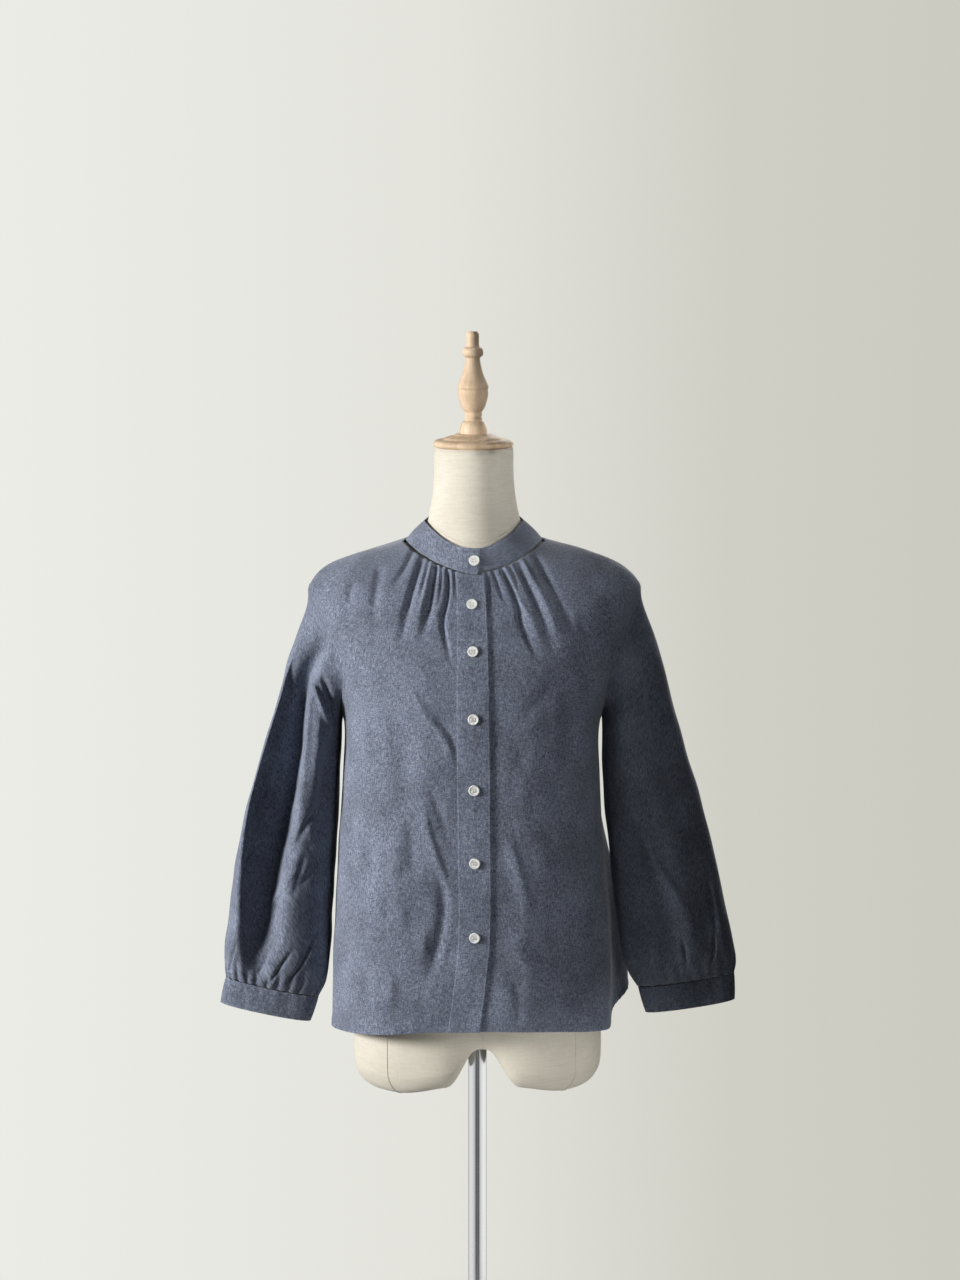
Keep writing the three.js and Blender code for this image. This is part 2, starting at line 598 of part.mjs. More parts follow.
// The armhole's edge as a loop: 0 at the shoulder, a quarter at the front, a half at the armpit.
function armholeLoop(sign, turn) {
  const down = (1 - Math.cos(turn)) / 2;
  const at = mix(SHOULDER, ARMPIT, down);
  const towardsFront = Math.sin(turn) >= 0 ? 1 : -1;
  const away = RIGHT_ANGLE - towardsFront * armholeTurn(at, sign);
  const angle = sign * away;
  const edge = bodyCloth(at, angle, 0);
  const middle = garmentPoint(mix(SHOULDER, ARMPIT, 0.5), sign * RIGHT_ANGLE);
  const into = middle.sub(edge);
  const flat = garmentOutward(at, angle);
  into.addScaledVector(flat, -into.dot(flat)).normalize();
  return edge.addScaledVector(into, SEAM);
}

function sleeveSection(sleeve, at) {
  const [outer, inner, front, back] = [sleeve.outer, sleeve.inner, "front", "back"].map((name) =>
    column(SLEEVE_SECTIONS, name, "at", at),
  );
  return { outer, inner, front, back };
}

// The plain sleeve, before its folds. The turn is 0 outside, a quarter at the front, a half inside.
function sleevePlain(sleeve, at, turn) {
  const { sign, top } = sleeve;
  const loop = armholeLoop(sign, turn);
  const { outer, inner, front, back } = sleeveSection(sleeve, at);
  const middle = (outer + inner) / 2;
  const [c, s] = [Math.cos(turn), Math.sin(turn)];
  const swell = swellOf(s, c, SLEEVE_SQUARE);
  const halfDepth = (back - front) / 2;
  const section = new THREE.Vector3(
    sign * (middle + ((outer - inner) / 2) * c * swell),
    (front + back) / 2 - halfDepth * s * swell,
    0,
  );
  const inside = (1 - c) / 2;
  const fall = at ** (1 + INNER_SLACK * inside ** 2);
  section.z = mix(loop.z, mix(top.zOuter, top.zInner, inside), fall);
  const leave = 1 - (1 - THREE.MathUtils.clamp(at / SLEEVE_LEAVE.over, 0, 1)) ** SLEEVE_LEAVE.power;
  return new THREE.Vector3(
    mix(loop.x, section.x, leave),
    mix(loop.y, section.y, leave) + pleatDepth(sleeve, at, turn),
    section.z,
  );
}

const pleatAt = (sleeve, at) =>
  Object.fromEntries(PLEAT_COLUMNS.map((name) => [name, column(PLEATS[sleeve.side], name, "at", at)]));

// How far the long pleat pushes the cloth back, at a place round the sleeve.
function pleatDepth(sleeve, at, turn) {
  const { turn: line, before, after, back, crest, ridge } = pleatAt(sleeve, at);
  const turned = (((turn * 180) / Math.PI + 540) % 360) - 180;
  const apart = turned - line;
  return back * bell(apart, apart < 0 ? before : after) - ridge * bell(turned - crest, CREST_HALF);
}

// A place round the sleeve, shifted so that the same points follow the pleat's line all the way down.
function followPleat(sleeve, at, turn) {
  const turned = (turn * 180) / Math.PI;
  const share = Math.max(1 - Math.abs(turned - PLEAT_LINE) / PLEAT_REACH, 0);
  return ((turned + (pleatAt(sleeve, at).turn - PLEAT_LINE) * share) * Math.PI) / 180;
}

function sleeveFold(sleeve, at, turn) {
  const turned = (turn * 180) / Math.PI;
  let depth = 0;
  for (const f of sleeve.folds) {
    const along = (at - f.from) / (f.to - f.from);
    if (along <= 0 || along >= 1) continue;
    const apart = ((turned - f.turn - f.lean * (along - 0.5) + 540) % 360) - 180;
    depth -= f.depth * bell(apart, f.half) * Math.sin(Math.PI * along) ** FOLD_ENDS;
  }
  const gathered = smooth(WAVE.from, WAVE.full, at) * (1 - WAVE.eased * smooth(WAVE.full, 1, at));
  return depth - WAVE.depth * gathered * (0.5 - 0.5 * Math.cos(SLEEVE_WAVES * turn));
}

function sleeveCloth(sleeve, at, turn, lift) {
  const plain = (a, t) => sleevePlain(sleeve, THREE.MathUtils.clamp(a, 0, 1), t);
  const flip = sleeve.sign;
  const out = outward(plain, THREE.MathUtils.clamp(at, 0.004, 0.996), turn).multiplyScalar(flip);
  return plain(at, turn).addScaledVector(out, sleeveFold(sleeve, at, turn) + lift);
}

// Places round the armhole that match the panels' points on it.
function armholeShares() {
  const turns = ARMHOLE_LEVELS.map((at) => Math.acos(1 - (2 * (SHOULDER - at)) / (SHOULDER - ARMPIT)));
  const shares = turns.map((turn) => turn / (2 * Math.PI)).sort((a, b) => a - b);
  return [...shares, ...shares.map((share) => 1 - share).reverse().slice(1)];
}

function sleeveSolid(sleeve) {
  const round = SLEEVE_TURNS.map((turn) => turn / 360);
  const rows = [
    ...[0, 0.012].map((at) => ({ at, across: armholeShares() })),
    ...[0.03, 0.07, 0.13, 0.21, 0.3, 0.4, 0.5, 0.6, 0.7, 0.79, 0.86].map((at) => ({ at, across: round })),
    { at: 0.915, across: evenly(38) },
    ...[0.955, 0.98, 0.999].map((at) => ({ at, across: evenly(3 * SLEEVE_WAVES) })),
  ];
  const skin = (inset) => (at, u) => {
    const turn = u * 2 * Math.PI;
    const placed = at > PLEAT_STARTS && at < WAVE.from ? followPleat(sleeve, at, turn) : turn;
    return sleeveCloth(sleeve, at, placed, -inset);
  };
  return wall(rows, skin(0), skin(CLOTH), true);
}

// A cuff: a flattened band that hangs from the gathered sleeve.
function cuffPoint(sleeve, down, turn, lift) {
  const { sign, top, bottom } = sleeve;
  const end = Object.fromEntries(Object.keys(top).map((name) => [name, mix(top[name], bottom[name], down)]));
  const [c, s] = [Math.cos(turn), Math.sin(turn)];
  const swell = swellOf(s, c, SLEEVE_SQUARE);
  const middle = (end.outer + end.inner) / 2;
  const across = (end.outer - end.inner) / 2 + lift;
  const inside = (1 - c * swell) / 2;
  return new THREE.Vector3(
    sign * (middle + across * c * swell),
    -(CUFF_DEPTH + lift) * s * swell,
    mix(end.zOuter, end.zInner, inside) - CUFF_DROP,
  );
}
function cuffSolid(sleeve) {
  const rows = [0, 0.12, 0.88, 1].map((at) => ({ at, across: evenly(30) }));
  const swollen = (at) => CUFF_SWELL * Math.sin(Math.PI * at);
  const outer = (at, u) => cuffPoint(sleeve, at, u * 2 * Math.PI, swollen(at));
  const inner = (at, u) => cuffPoint(sleeve, at, u * 2 * Math.PI, swollen(at) - CUFF_WALL);
  return wall(rows, outer, inner, true);
}

// A closed body from rings of equal count, shut at both ends by a middle point.
function loft(rings, startCentre, endCentre) {
  const positions = [];
  const faces = [];
  const count = rings[0].length;
  rings.flat().forEach((p) => positions.push(p.x, p.y, p.z));
  for (let r = 0; r + 1 < rings.length; r++)
    for (let i = 0; i < count; i++) {
      const [a, b] = [r * count + i, r * count + ((i + 1) % count)];
      faces.push(a, b, b + count, a, b + count, a + count);
    }
  for (const [centre, r, turned] of [
    [startCentre, 0, true],
    [endCentre, rings.length - 1, false],
  ]) {
    const id = positions.push(centre.x, centre.y, centre.z) / 3 - 1;
    for (let i = 0; i < count; i++) {
      const [a, b] = [r * count + i, r * count + ((i + 1) % count)];
      faces.push(...(turned ? [b, a, id] : [a, b, id]));
    }
  }
  return solidFrom(positions, faces);
}

// The form's underside as a height over the plan: two rounded lobes with an arch between them.
function archAt(x) {
  const away = Math.abs(x - STUMP.middle);
  const steep = ARCH.steepShare * smooth(ARCH.from, ARCH.steepTo, away);
  return 1 - steep - (1 - ARCH.steepShare) * smooth(ARCH.slowFrom, ARCH.slowTo, away);
}
const stumpEdge = (x) => mix(STUMP.edge, STUMP.arch, archAt(x));
function lobeHeight(x, edgeX, edgeShare) {
  const lobe = mix(STUMP.floor, STUMP.arch, archAt(x));
  return mix(lobe, Math.max(stumpEdge(edgeX), lobe), 1 - Math.sqrt(Math.max(1 - edgeShare ** 2, 0)));
}

const capPlane = (y) => CAP_CENTRE.z - CAP_GAP + Math.tan(CAP_TILT) * (y - CAP_CENTRE.y);

function formBody() {
  const half = [...FORM_TURNS, 90, ...FORM_TURNS.slice(1).reverse().map((turn) => 180 - turn)];
  const angles = [...half, ...half.map((turn) => turn + 180)].map(THREE.MathUtils.degToRad);
  const ringAt = (row) => {
    const full = { left: row.half, right: row.half, square: 2, bow: 2, ...row };
    return angles.map((angle) => {
      const point = onRing(full, angle);
      const low = 1 - smooth(STUMP.edge, GROOVE.from, point.z);
      const front = Math.cos(angle) > 0 ? bell(Math.sin(angle), GROOVE.half) : 0;
      point.y += GROOVE.depth * low * front;
      return point;
    });
  };
  const seatAt = ({ at, air, standOff }) =>
    angles.map((angle) => {
      const side = Math.cos(angle) ** 2;
      const point = garmentPoint(at, angle);
      point.addScaledVector(garmentOutward(at, angle), -(CLOTH + air + standOff * side));
      point.x = THREE.MathUtils.clamp(point.x, -SEAT_HALF, SEAT_HALF);
      return point;
    });
  // The neck's top is cut flat, under the tilted plate.
  const neckTop = ringAt(NECK_RINGS[0]);
  for (const point of neckTop) point.z = capPlane(point.y);
  const edge = ringAt({ ...TORSO_RINGS.at(-1), zFront: STUMP.edge, zSide: STUMP.edge, zBack: STUMP.edge });
  for (const point of edge) point.z = stumpEdge(point.x);
  // The underside draws in from the edge ring to the pole's socket.
  const underside = [0.985, 0.94, 0.87, 0.76, 0.62, 0.46, 0.33, 0.23, 0.15].map((share) =>
    edge.map((p) => {
      const [x, y] = [p.x * share, p.y * share];
      const edgeShare = THREE.MathUtils.clamp((Math.hypot(p.x, p.y) * (share - 1)) / STUMP.roundness + 1, 0, 1);
      return new THREE.Vector3(x, y, lobeHeight(x, p.x, edgeShare));
    }),
  );
  const socketR = POLE_R + SOCKET_GAP;
  const socket = (z) =>
    angles.map((angle) => new THREE.Vector3(socketR * Math.sin(angle), -socketR * Math.cos(angle), z));
  const rings = [
    neckTop,
    ...NECK_RINGS.slice(1).map(ringAt),
    ...SEAT_RINGS.map(seatAt),
    ...TORSO_RINGS.map(ringAt),
    edge,
    ...underside,
    socket(STUMP.arch),
    socket(SOCKET_TOP),
  ];
  const topCentre = new THREE.Vector3(0, CAP_CENTRE.y, capPlane(CAP_CENTRE.y));
  return loft(rings, topCentre, new THREE.Vector3(0, 0, SOCKET_TOP));
}

// A turned piece: its outline goes round the axis and closes on it.
function turned(profile, segments) {
  const points = profile.map(({ r, z }) => new THREE.Vector2(r, z));
  const closed = [new THREE.Vector2(0, points[0].y), ...points, new THREE.Vector2(0, points.at(-1).y)];
  const geometry = new THREE.LatheGeometry(closed, segments);
  geometry.rotateX(RIGHT_ANGLE); // the lathe's axis is +Y, and the stand's is +Z
  return geometry;
}

function buttonShape() {
  const rim = evenly(BUTTON_SIDES, 0, 2 * Math.PI).slice(1);
  const onRim = (turn) => new THREE.Vector2(BUTTON_R * Math.cos(turn), BUTTON_R * Math.sin(turn));
  const disc = new THREE.Shape(rim.map(onRim));
  for (const [x, y] of [
    [1, 1],
    [-1, 1],
    [-1, -1],
    [1, -1],
  ]) {
    const hole = new THREE.Path();
    hole.absarc(x * BUTTON_HOLE_AT, y * BUTTON_HOLE_AT, BUTTON_HOLE_R, 0, 2 * Math.PI, true);
    disc.holes.push(hole);
  }
  return new THREE.ExtrudeGeometry(disc, { depth: BUTTON_THICK, bevelEnabled: false, curveSegments: 2 });
}

// The ring at which the front's middle is at a height.
function ringAtHeight(z) {
  let [low, high] = [0, NECKLINE];
  for (let i = 0; i < 40; i++) {
    const at = (low + high) / 2;
    if (garmentRing(at).zFront < z) low = at;
    else high = at;
  }
  return (low + high) / 2;
}

function placeButton(mesh, index) {
  const z = BUTTON_HEIGHTS[index];
  const collarButton = index === 0;
  const at = collarButton ? NECKLINE : ringAtHeight(z);
  const x = (edgeOfPlacket("left", at) + edgeOfPlacket("right", at)) / 2;
  const angle = angleAcross(at, collarButton ? 0 : x);
  const up = (z - NECK.zFront) / (COLLAR_TOP.zFront - NECK.zFront);
  const face = collarButton
    ? collarPoint(up, angle, LAP + 0.5)
    : upperCloth(at, angle, PLACKET_GAP + BAND + 0.5);
  const beyond = collarButton
    ? collarPoint(up, angle, LAP + 1.5)
    : upperCloth(at, angle, PLACKET_GAP + BAND + 1.5);
  mesh.position.copy(face);
  mesh.quaternion.setFromUnitVectors(new THREE.Vector3(0, 0, 1), beyond.sub(face).normalize());
  return mesh;
}

// Assembly
const part = new THREE.Group();
part.add(
  named(
    "stand_base",
    turned(
      [
        { r: BASE_R - 4, z: 0 },
        { r: BASE_R, z: 2 },
        { r: BASE_R, z: BASE_THICK - 4 },
        { r: BASE_R - 4, z: BASE_THICK },
        { r: HUB_R + 8, z: BASE_THICK + 3 },
        { r: HUB_R, z: BASE_THICK + 10 },
        { r: HUB_R, z: HUB_TOP - 2 },
        { r: HUB_R - 2, z: HUB_TOP },
        { r: POLE_R + SOCKET_GAP, z: HUB_TOP },
        { r: POLE_R + SOCKET_GAP, z: BASE_THICK - 4 },
      ],
      32,
    ),
    CHROME,
  ),
);
const pole = new THREE.CylinderGeometry(POLE_R, POLE_R, POLE_TOP - (BASE_THICK - 4 + SOCKET_GAP), 24);
pole.rotateX(RIGHT_ANGLE);
const poleMesh = named("stand_pole", pole, CHROME);
poleMesh.position.z = (POLE_TOP + BASE_THICK - 4 + SOCKET_GAP) / 2;
part.add(poleMesh);

const leaning = new THREE.Group();
leaning.position.z = LEAN_PIVOT;
leaning.rotation.y = LEAN;
const worn = new THREE.Group();
worn.position.z = -LEAN_PIVOT;
leaning.add(worn);
part.add(leaning);

worn.add(named("form_body", formBody(), LINEN));
const cap = new THREE.Group();
cap.position.set(0, CAP_CENTRE.y, CAP_CENTRE.z);
cap.rotation.x = CAP_TILT;
cap.add(named("neck_plate", turned(PLATE_PROFILE, 32), BEECH));
cap.add(named("finial", turned(FINIAL_PROFILE, 20), BEECH));
worn.add(cap);

worn.add(named("front_right", frontPanel(-1), CHAMBRAY));
worn.add(named("front_left", frontPanel(1), CHAMBRAY));
worn.add(named("back", backPanel(), CHAMBRAY));
worn.add(named("placket", placket(), CHAMBRAY));
worn.add(named("collar", collar(), CHAMBRAY));
for (const sleeve of SLEEVES) {
  worn.add(named(`sleeve_${sleeve.side}`, sleeveSolid(sleeve), CHAMBRAY));
  worn.add(named(`cuff_${sleeve.side}`, cuffSolid(sleeve), CHAMBRAY));
}
BUTTON_HEIGHTS.forEach((_, index) => {
  const button = named(`button_${index + 1}`, buttonShape(), SHELL_WHITE);
  worn.add(placeButton(button, index));
});

export default part;
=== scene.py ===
"""Looks of a band-collar chambray shirt, worn by a limbless linen dress form on a one-pole stand.

Sizes are in millimetres until a mesh is placed. The shirt's front faces -Y and the viewer's right is +X.
"""

import logging
import math
from dataclasses import dataclass, field
from enum import Enum
from typing import Callable, Optional, Sequence

import bmesh
import bpy
import numpy as np
from mathutils import Matrix, Vector


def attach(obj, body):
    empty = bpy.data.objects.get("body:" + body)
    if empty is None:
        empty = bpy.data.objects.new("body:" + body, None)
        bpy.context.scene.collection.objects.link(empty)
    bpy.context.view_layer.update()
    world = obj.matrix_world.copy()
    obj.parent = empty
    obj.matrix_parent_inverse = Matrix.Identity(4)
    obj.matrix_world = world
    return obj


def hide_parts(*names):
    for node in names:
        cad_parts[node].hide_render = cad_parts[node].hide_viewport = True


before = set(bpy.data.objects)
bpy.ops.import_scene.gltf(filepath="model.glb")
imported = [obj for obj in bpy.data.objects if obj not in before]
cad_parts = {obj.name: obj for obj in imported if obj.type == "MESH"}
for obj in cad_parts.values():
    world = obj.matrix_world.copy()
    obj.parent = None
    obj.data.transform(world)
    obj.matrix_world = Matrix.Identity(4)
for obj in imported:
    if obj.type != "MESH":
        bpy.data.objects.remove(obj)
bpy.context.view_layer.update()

LOG = logging.getLogger("shirt")
MM = 0.001
RIGHT_ANGLE = math.pi / 2
FULL_TURN = 2 * math.pi
BODY = "root"
CLOTH_MAP = "cloth"
EDGE_SHADE = "edge"
SEAM = 0.36

Array = np.ndarray
Place = Callable[[Array, Array, float], Array]


class Side(Enum):
    """The wearer's side, as the sign of X on which it lies."""

    RIGHT = -1
    LEFT = 1


class Face(Enum):
    """The side of the shirt on which a crease lies."""

    FRONT = 1
    BACK = -1


# Curves and directions


def mix(a: Array, b: Array, share: Array) -> Array:
    """Return the value a share of the way from a to b."""
    return a + (b - a) * share


def smooth(low: float, high: float, x: Array) -> Array:
    """Return an eased step from 0 at low to 1 at high."""
    share = np.clip((x - low) / (high - low), 0.0, 1.0)
    return share * share * (3 - 2 * share)


def bell(x: Array, half: Array) -> Array:
    """Return a bell of height one and the given half width."""
    return np.exp(-((x / half) ** 2))


def through(keys: Array, values: Array, x: Array) -> Array:
    """Return a smooth curve through a table.

    Args:
        keys: Rising places of the table's rows.
        values: One value, or one array, for each row.
        x: Places at which the curve is wanted.

    Returns:
        The curve's values at x.
    """
    keys = np.asarray(keys, dtype=float)
    values = np.asarray(values, dtype=float)
    x = np.asarray(x, dtype=float)
    last = len(keys) - 1
    row = np.searchsorted(keys[1:last], x, side="left")
    before = np.maximum(row - 1, 0)
    after = np.minimum(row + 2, last)

    def widened(number: Array) -> Array:
        """Return numbers shaped to multiply the table's values."""
        return number.reshape(number.shape + (1,) * (values.ndim - 1))

    span = widened(keys[row + 1] - keys[row])
    start_slope = (values[row + 1] - values[before]) / widened(keys[row + 1] - keys[before]) * span
    end_slope = (values[after] - values[row]) / widened(keys[after] - keys[row]) * span
    s = np.clip(widened(x - keys[row]) / span, 0.0, 1.0)
    s2 = s * s
    s3 = s2 * s
    start = (2 * s3 - 3 * s2 + 1) * values[row] + (s3 - 2 * s2 + s) * start_slope
    return start + (3 * s2 - 2 * s3) * values[row + 1] + (s3 - s2) * end_slope


def unit(vectors: Array) -> Array:
    """Return vectors of length one."""
    return vectors / np.linalg.norm(vectors, axis=-1, keepdims=True)


def outward(surface: Callable[[Array, Array], Array], a: Array, b: Array, step: float = 0.004) -> Array:
    """Return the outward direction of a surface given as a function of two numbers."""
    along_a = surface(a + step, b) - surface(a - step, b)
    along_b = surface(a, b + step) - surface(a, b - step)
    return unit(np.cross(along_b, along_a))


def swell_of(s: Array, c: Array, square: Array) -> Array:
    """Return how far a squared oval of half width one reaches in a direction."""
    return (np.abs(s) ** square + np.abs(c) ** square) ** (-1 / square)


# The form leans a little to the wearer's right about this height.
LEAN = -0.0065
LEAN_PIVOT = 700.0


def leaned(points: Array) -> Array:
    """Return worn points turned by the form's lean, in metres."""
    x, y, z = points[..., 0], points[..., 1], points[..., 2] - LEAN_PIVOT
    c, s = math.cos(LEAN), math.sin(LEAN)
    return np.stack([x * c + z * s, y, z * c - x * s + LEAN_PIVOT], axis=-1) * MM


def leaned_direction(vectors: Array) -> Array:
    """Return directions turned by the form's lean."""
    pivot = np.array([0.0, 0.0, LEAN_PIVOT])
    return unit(leaned(vectors + pivot) - leaned(pivot))


@dataclass(frozen=True)
class Oval:
    """A ring of the body, whose height differs at the front, the sides and the back."""

    z_front: Array
    z_side: Array
    z_back: Array
    left: Array
    right: Array
    front: Array
    back: Array
    square: Array
    bow: Array = 2.0

    def point(self, angle: Array) -> Array:
        """Return the point at an angle: 0 is the front, a right angle the viewer's right."""
        s, c = np.sin(angle), np.cos(angle)
        swell = swell_of(s, c, self.square)
        width = np.where(s < 0, self.left, self.right)
        depth = np.where(c > 0, self.front, self.back)
        high = np.where(
            c > 0,
            mix(self.z_side, self.z_front, c * c),
            mix(self.z_side, self.z_back, np.abs(c) ** self.bow),
        )
        return np.stack(np.broadcast_arrays(width * s * swell, -depth * c * swell, high), axis=-1)


# Creases


@dataclass(frozen=True)
class Crease:
    """A soft trough, or a ridge where its depth is negative, along a line seen from front or back.

    The line is a row of (x, z). A half width applies on each side of it, and both grow by "spread"
    towards the line's end. The crease comes in up to "full" and dies out after "last", as shares.
    """

    line: tuple
    depth: float
    left: float
    right: float
    spread: float = 1.0
    full: float = 0.35
    last: float = 0.6
    face: Face = Face.FRONT

    def depth_at(self, x: Array, z: Array) -> Array:
        """Return how deep the cloth sinks at places of the crease's own face."""
        knots = np.asarray(self.line, dtype=float)
        reach = np.concatenate([[0.0], np.cumsum(np.linalg.norm(np.diff(knots, axis=0), axis=1))])
        steps = np.linspace(0, reach[-1], 5 * (len(knots) - 1) + 1)
        path = through(reach, knots, steps) if len(knots) > 2 else mix(knots[:1], knots[1:], steps[:, None] / reach[-1])
        margin = 3.2 * max(self.left, self.right) * max(self.spread, 1.0)
        low, high = path.min(axis=0) - margin, path.max(axis=0) + margin
        near = (x > low[0]) & (x < high[0]) & (z > low[1]) & (z < high[1])
        sunk = np.zeros_like(x)
        if not near.any():
            return sunk
        places = np.stack([x[near], z[near]], axis=-1)
        best = np.full(len(places), np.inf)
        share = np.zeros(len(places))
        side = np.ones(len(places))
        for start, end, before, after in zip(path[:-1], path[1:], steps[:-1], steps[1:]):
            along = end - start
            away = places - start
            t = np.clip((away @ along) / (along @ along), 0.0, 1.0)
            apart = np.linalg.norm(away - t[:, None] * along, axis=1)
            nearer = apart < best
            best = np.where(nearer, apart, best)
            share = np.where(nearer, mix(before, after, t) / reach[-1], share)
            turned = along[0] * away[:, 1] - along[1] * away[:, 0]
            side = np.where(nearer, np.where(turned > 0, 1.0, -1.0), side)
        half = np.where(side > 0, self.right, self.left) * mix(1.0, self.spread, share)
        strength = smooth(0.0, self.full, share) * (1 - smooth(self.last, 1.0, share))
        sunk[near] = self.depth * strength * bell(best, half)
        return sunk


def creased(creases: Sequence[Crease], point: Array, in_front: Array) -> Array:
    """Return the depth of all creases at points of the cloth, each on its own face."""
    total = np.zeros(point.shape[:-1])
    for crease in creases:
        chosen = in_front if crease.face is Face.FRONT else ~in_front
        total[chosen] += crease.depth_at(point[chosen][:, 0], point[chosen][:, 2])
    return total


@dataclass(frozen=True)
class Rumple:
    """A faint unevenness of worn cloth, from a few crossing waves."""

    seed: int
    height: float = 0.5
    shortest: float = 42.0
    longest: float = 130.0
    waves: int = 9

    def at(self, point: Array) -> Array:
        """Return the lift at points of the cloth."""
        draw = np.random.default_rng(self.seed)
        total = np.zeros(point.shape[:-1])
        for _ in range(self.waves):
            direction = unit(draw.normal(size=3))
            length = draw.uniform(self.shortest, self.longest)
            phase = draw.uniform(0, FULL_TURN)
            total += np.sin(point @ direction * FULL_TURN / length + phase)
        return total * self.height / math.sqrt(self.waves)


# Meshes


def new_object(name: str, mesh: bpy.types.Mesh) -> bpy.types.Object:
    """Return a new object for a mesh, linked to the scene."""
    piece = bpy.data.objects.new(name, mesh)
    bpy.context.scene.collection.objects.link(piece)
    return piece


def spaced(knots: Sequence[tuple], share: Array) -> Array:
    """Return a place for each share, from a table of (share, place)."""
    table = np.asarray(knots, dtype=float)
    return np.interp(share, table[:, 0], table[:, 1])


def lengths_along(points: Array, axis: int) -> Array:
    """Return the length walked along one axis of a grid of points."""
    steps = np.linalg.norm(np.diff(points, axis=axis), axis=-1)
    start = np.zeros_like(np.take(steps, [0], axis=axis))
    return np.concatenate([start, np.cumsum(steps, axis=axis)], axis=axis)


def lay_cloth(name: str, columns: int, rows: int, place: Place, wall: float, closed: bool = False) -> bpy.types.Object:
    """Lay a grid of cloth on a surface.

    Args:
        name: The piece's name.
        columns: Faces across the grid.
        rows: Faces along it.
        place: Gives points for the shares across and along, at a lift.
        wall: Thickness of the cloth, which grows inwards.
        closed: Whether the grid goes round and meets itself.

    Returns:
        The cloth, with a UV map in metres that follows it.
    """
    bm = bmesh.new()
    bmesh.ops.create_grid(bm, x_segments=columns, y_segments=rows, size=0.5)
    mesh = bpy.data.meshes.new(name)
    bm.to_mesh(mesh)
    bm.free()
    flat = np.empty(len(mesh.vertices) * 3)
    mesh.vertices.foreach_get("co", flat)
    shares = flat.reshape(-1, 3)[:, :2] + 0.5
    points = leaned(place(shares[:, 0], shares[:, 1], 0.0))
    raised = leaned(place(shares[:, 0], shares[:, 1], 1.0))
    mesh.vertices.foreach_set("co", points.ravel())
    grid = points.reshape(rows + 1, columns + 1, 3)
    across = lengths_along(grid, 1)
    along = lengths_along(grid, 0)
    loops = np.empty(len(mesh.loops), dtype=int)
    mesh.loops.foreach_get("vertex_index", loops)
    layer = mesh.uv_layers.new(name=CLOTH_MAP)
    uv = np.stack([across.ravel(), along.ravel()], axis=-1)
    layer.data.foreach_set("uv", uv[loops].ravel())
    to_edge = np.minimum(along, along[-1:] - along)
    if not closed:
        to_edge = np.minimum(to_edge, np.minimum(across, across[:, -1:] - across))
    shade = mesh.attributes.new(EDGE_SHADE, "FLOAT", "POINT")
    shade.data.foreach_set("value", bell(to_edge.ravel() / MM, 2.2))
    mesh.update()
    normals = np.empty(len(mesh.vertices) * 3)
    mesh.vertices.foreach_get("normal", normals)
    if np.mean(np.sum(normals.reshape(-1, 3) * (raised - points), axis=1)) < 0:
        mesh.flip_normals()
    if closed:
        bm = bmesh.new()
        bm.from_mesh(mesh)
        bmesh.ops.remove_doubles(bm, verts=bm.verts, dist=1e-6)
        bm.to_mesh(mesh)
        bm.free()
    mesh.shade_smooth()
    piece = new_object(name, mesh)
    thicken = piece.modifiers.new("wall", "SOLIDIFY")
    thicken.thickness = wall * MM
    thicken.offset = -1
    return piece


def turned(name: str, profile: Sequence[tuple], steps: int) -> bpy.types.Mesh:
    """Return a mesh of an outline of (radius, height) spun round the Z axis, closed at both ends."""
    bm = bmesh.new()
    outline = [(0.0, profile[0][1]), *profile, (0.0, profile[-1][1])]
    verts = [bm.verts.new((r * MM, 0.0, z * MM)) for r, z in outline]
    edges = [bm.edges.new(pair) for pair in zip(verts[:-1], verts[1:])]
    bmesh.ops.spin(
        bm,
        geom=[*verts, *edges],
        cent=(0, 0, 0),
        axis=(0, 0, 1),
        angle=FULL_TURN,
        steps=steps,
        use_merge=True,
    )
    bmesh.ops.remove_doubles(bm, verts=bm.verts, dist=1e-6)
    bmesh.ops.recalc_face_normals(bm, faces=bm.faces)
    mesh = bpy.data.meshes.new(name)
    bm.to_mesh(mesh)
    bm.free()
    mesh.shade_smooth()
    mesh.set_sharp_from_angle(angle=math.radians(40))
    return mesh


def eased_profile(profile: Sequence[tuple], parts: int) -> list:
    """Return an outline with smooth curves through its points."""
    knots = np.asarray(profile, dtype=float)
    reach = np.concatenate([[0.0], np.cumsum(np.linalg.norm(np.diff(knots, axis=0), axis=1))])
    fine = np.concatenate([np.linspace(a, b, parts, endpoint=False) for a, b in zip(reach[:-1], reach[1:])])
    return [tuple(p) for p in through(reach, knots, np.append(fine, reach[-1]))]


def worn_matrix(position: Array, direction: Array, roll: Array) -> Matrix:
    """Return the matrix that stands a piece on the worn shirt.

    Args:
        position: Where its origin goes, in worn millimetres.
        direction: Where its Z axis points.
        roll: About where its X axis points.

    Returns:
        The placing matrix, in metres, with the form's lean.
    """
    z_axis = Vector(leaned_direction(direction))
    x_axis = Vector(leaned_direction(roll))
    x_axis = (x_axis - z_axis * x_axis.dot(z_axis)).normalized()
    y_axis = z_axis.cross(x_axis)
    turn = Matrix((x_axis, y_axis, z_axis)).transposed().to_4x4()
    return Matrix.Translation(Vector(leaned(position))) @ turn


def dress(piece: bpy.types.Object, material: bpy.types.Material, slot: str, *nodes: str) -> bpy.types.Object:
    """Give a piece its finish, its body and the CAD nodes that it stands for."""
    piece.data.materials.clear()
    piece.data.materials.append(material)
    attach(piece, BODY)
    if nodes:
        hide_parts(*nodes)
    LOG.info("%s: %d faces", piece.name, len(piece.data.polygons))
    return piece


# The garment surface

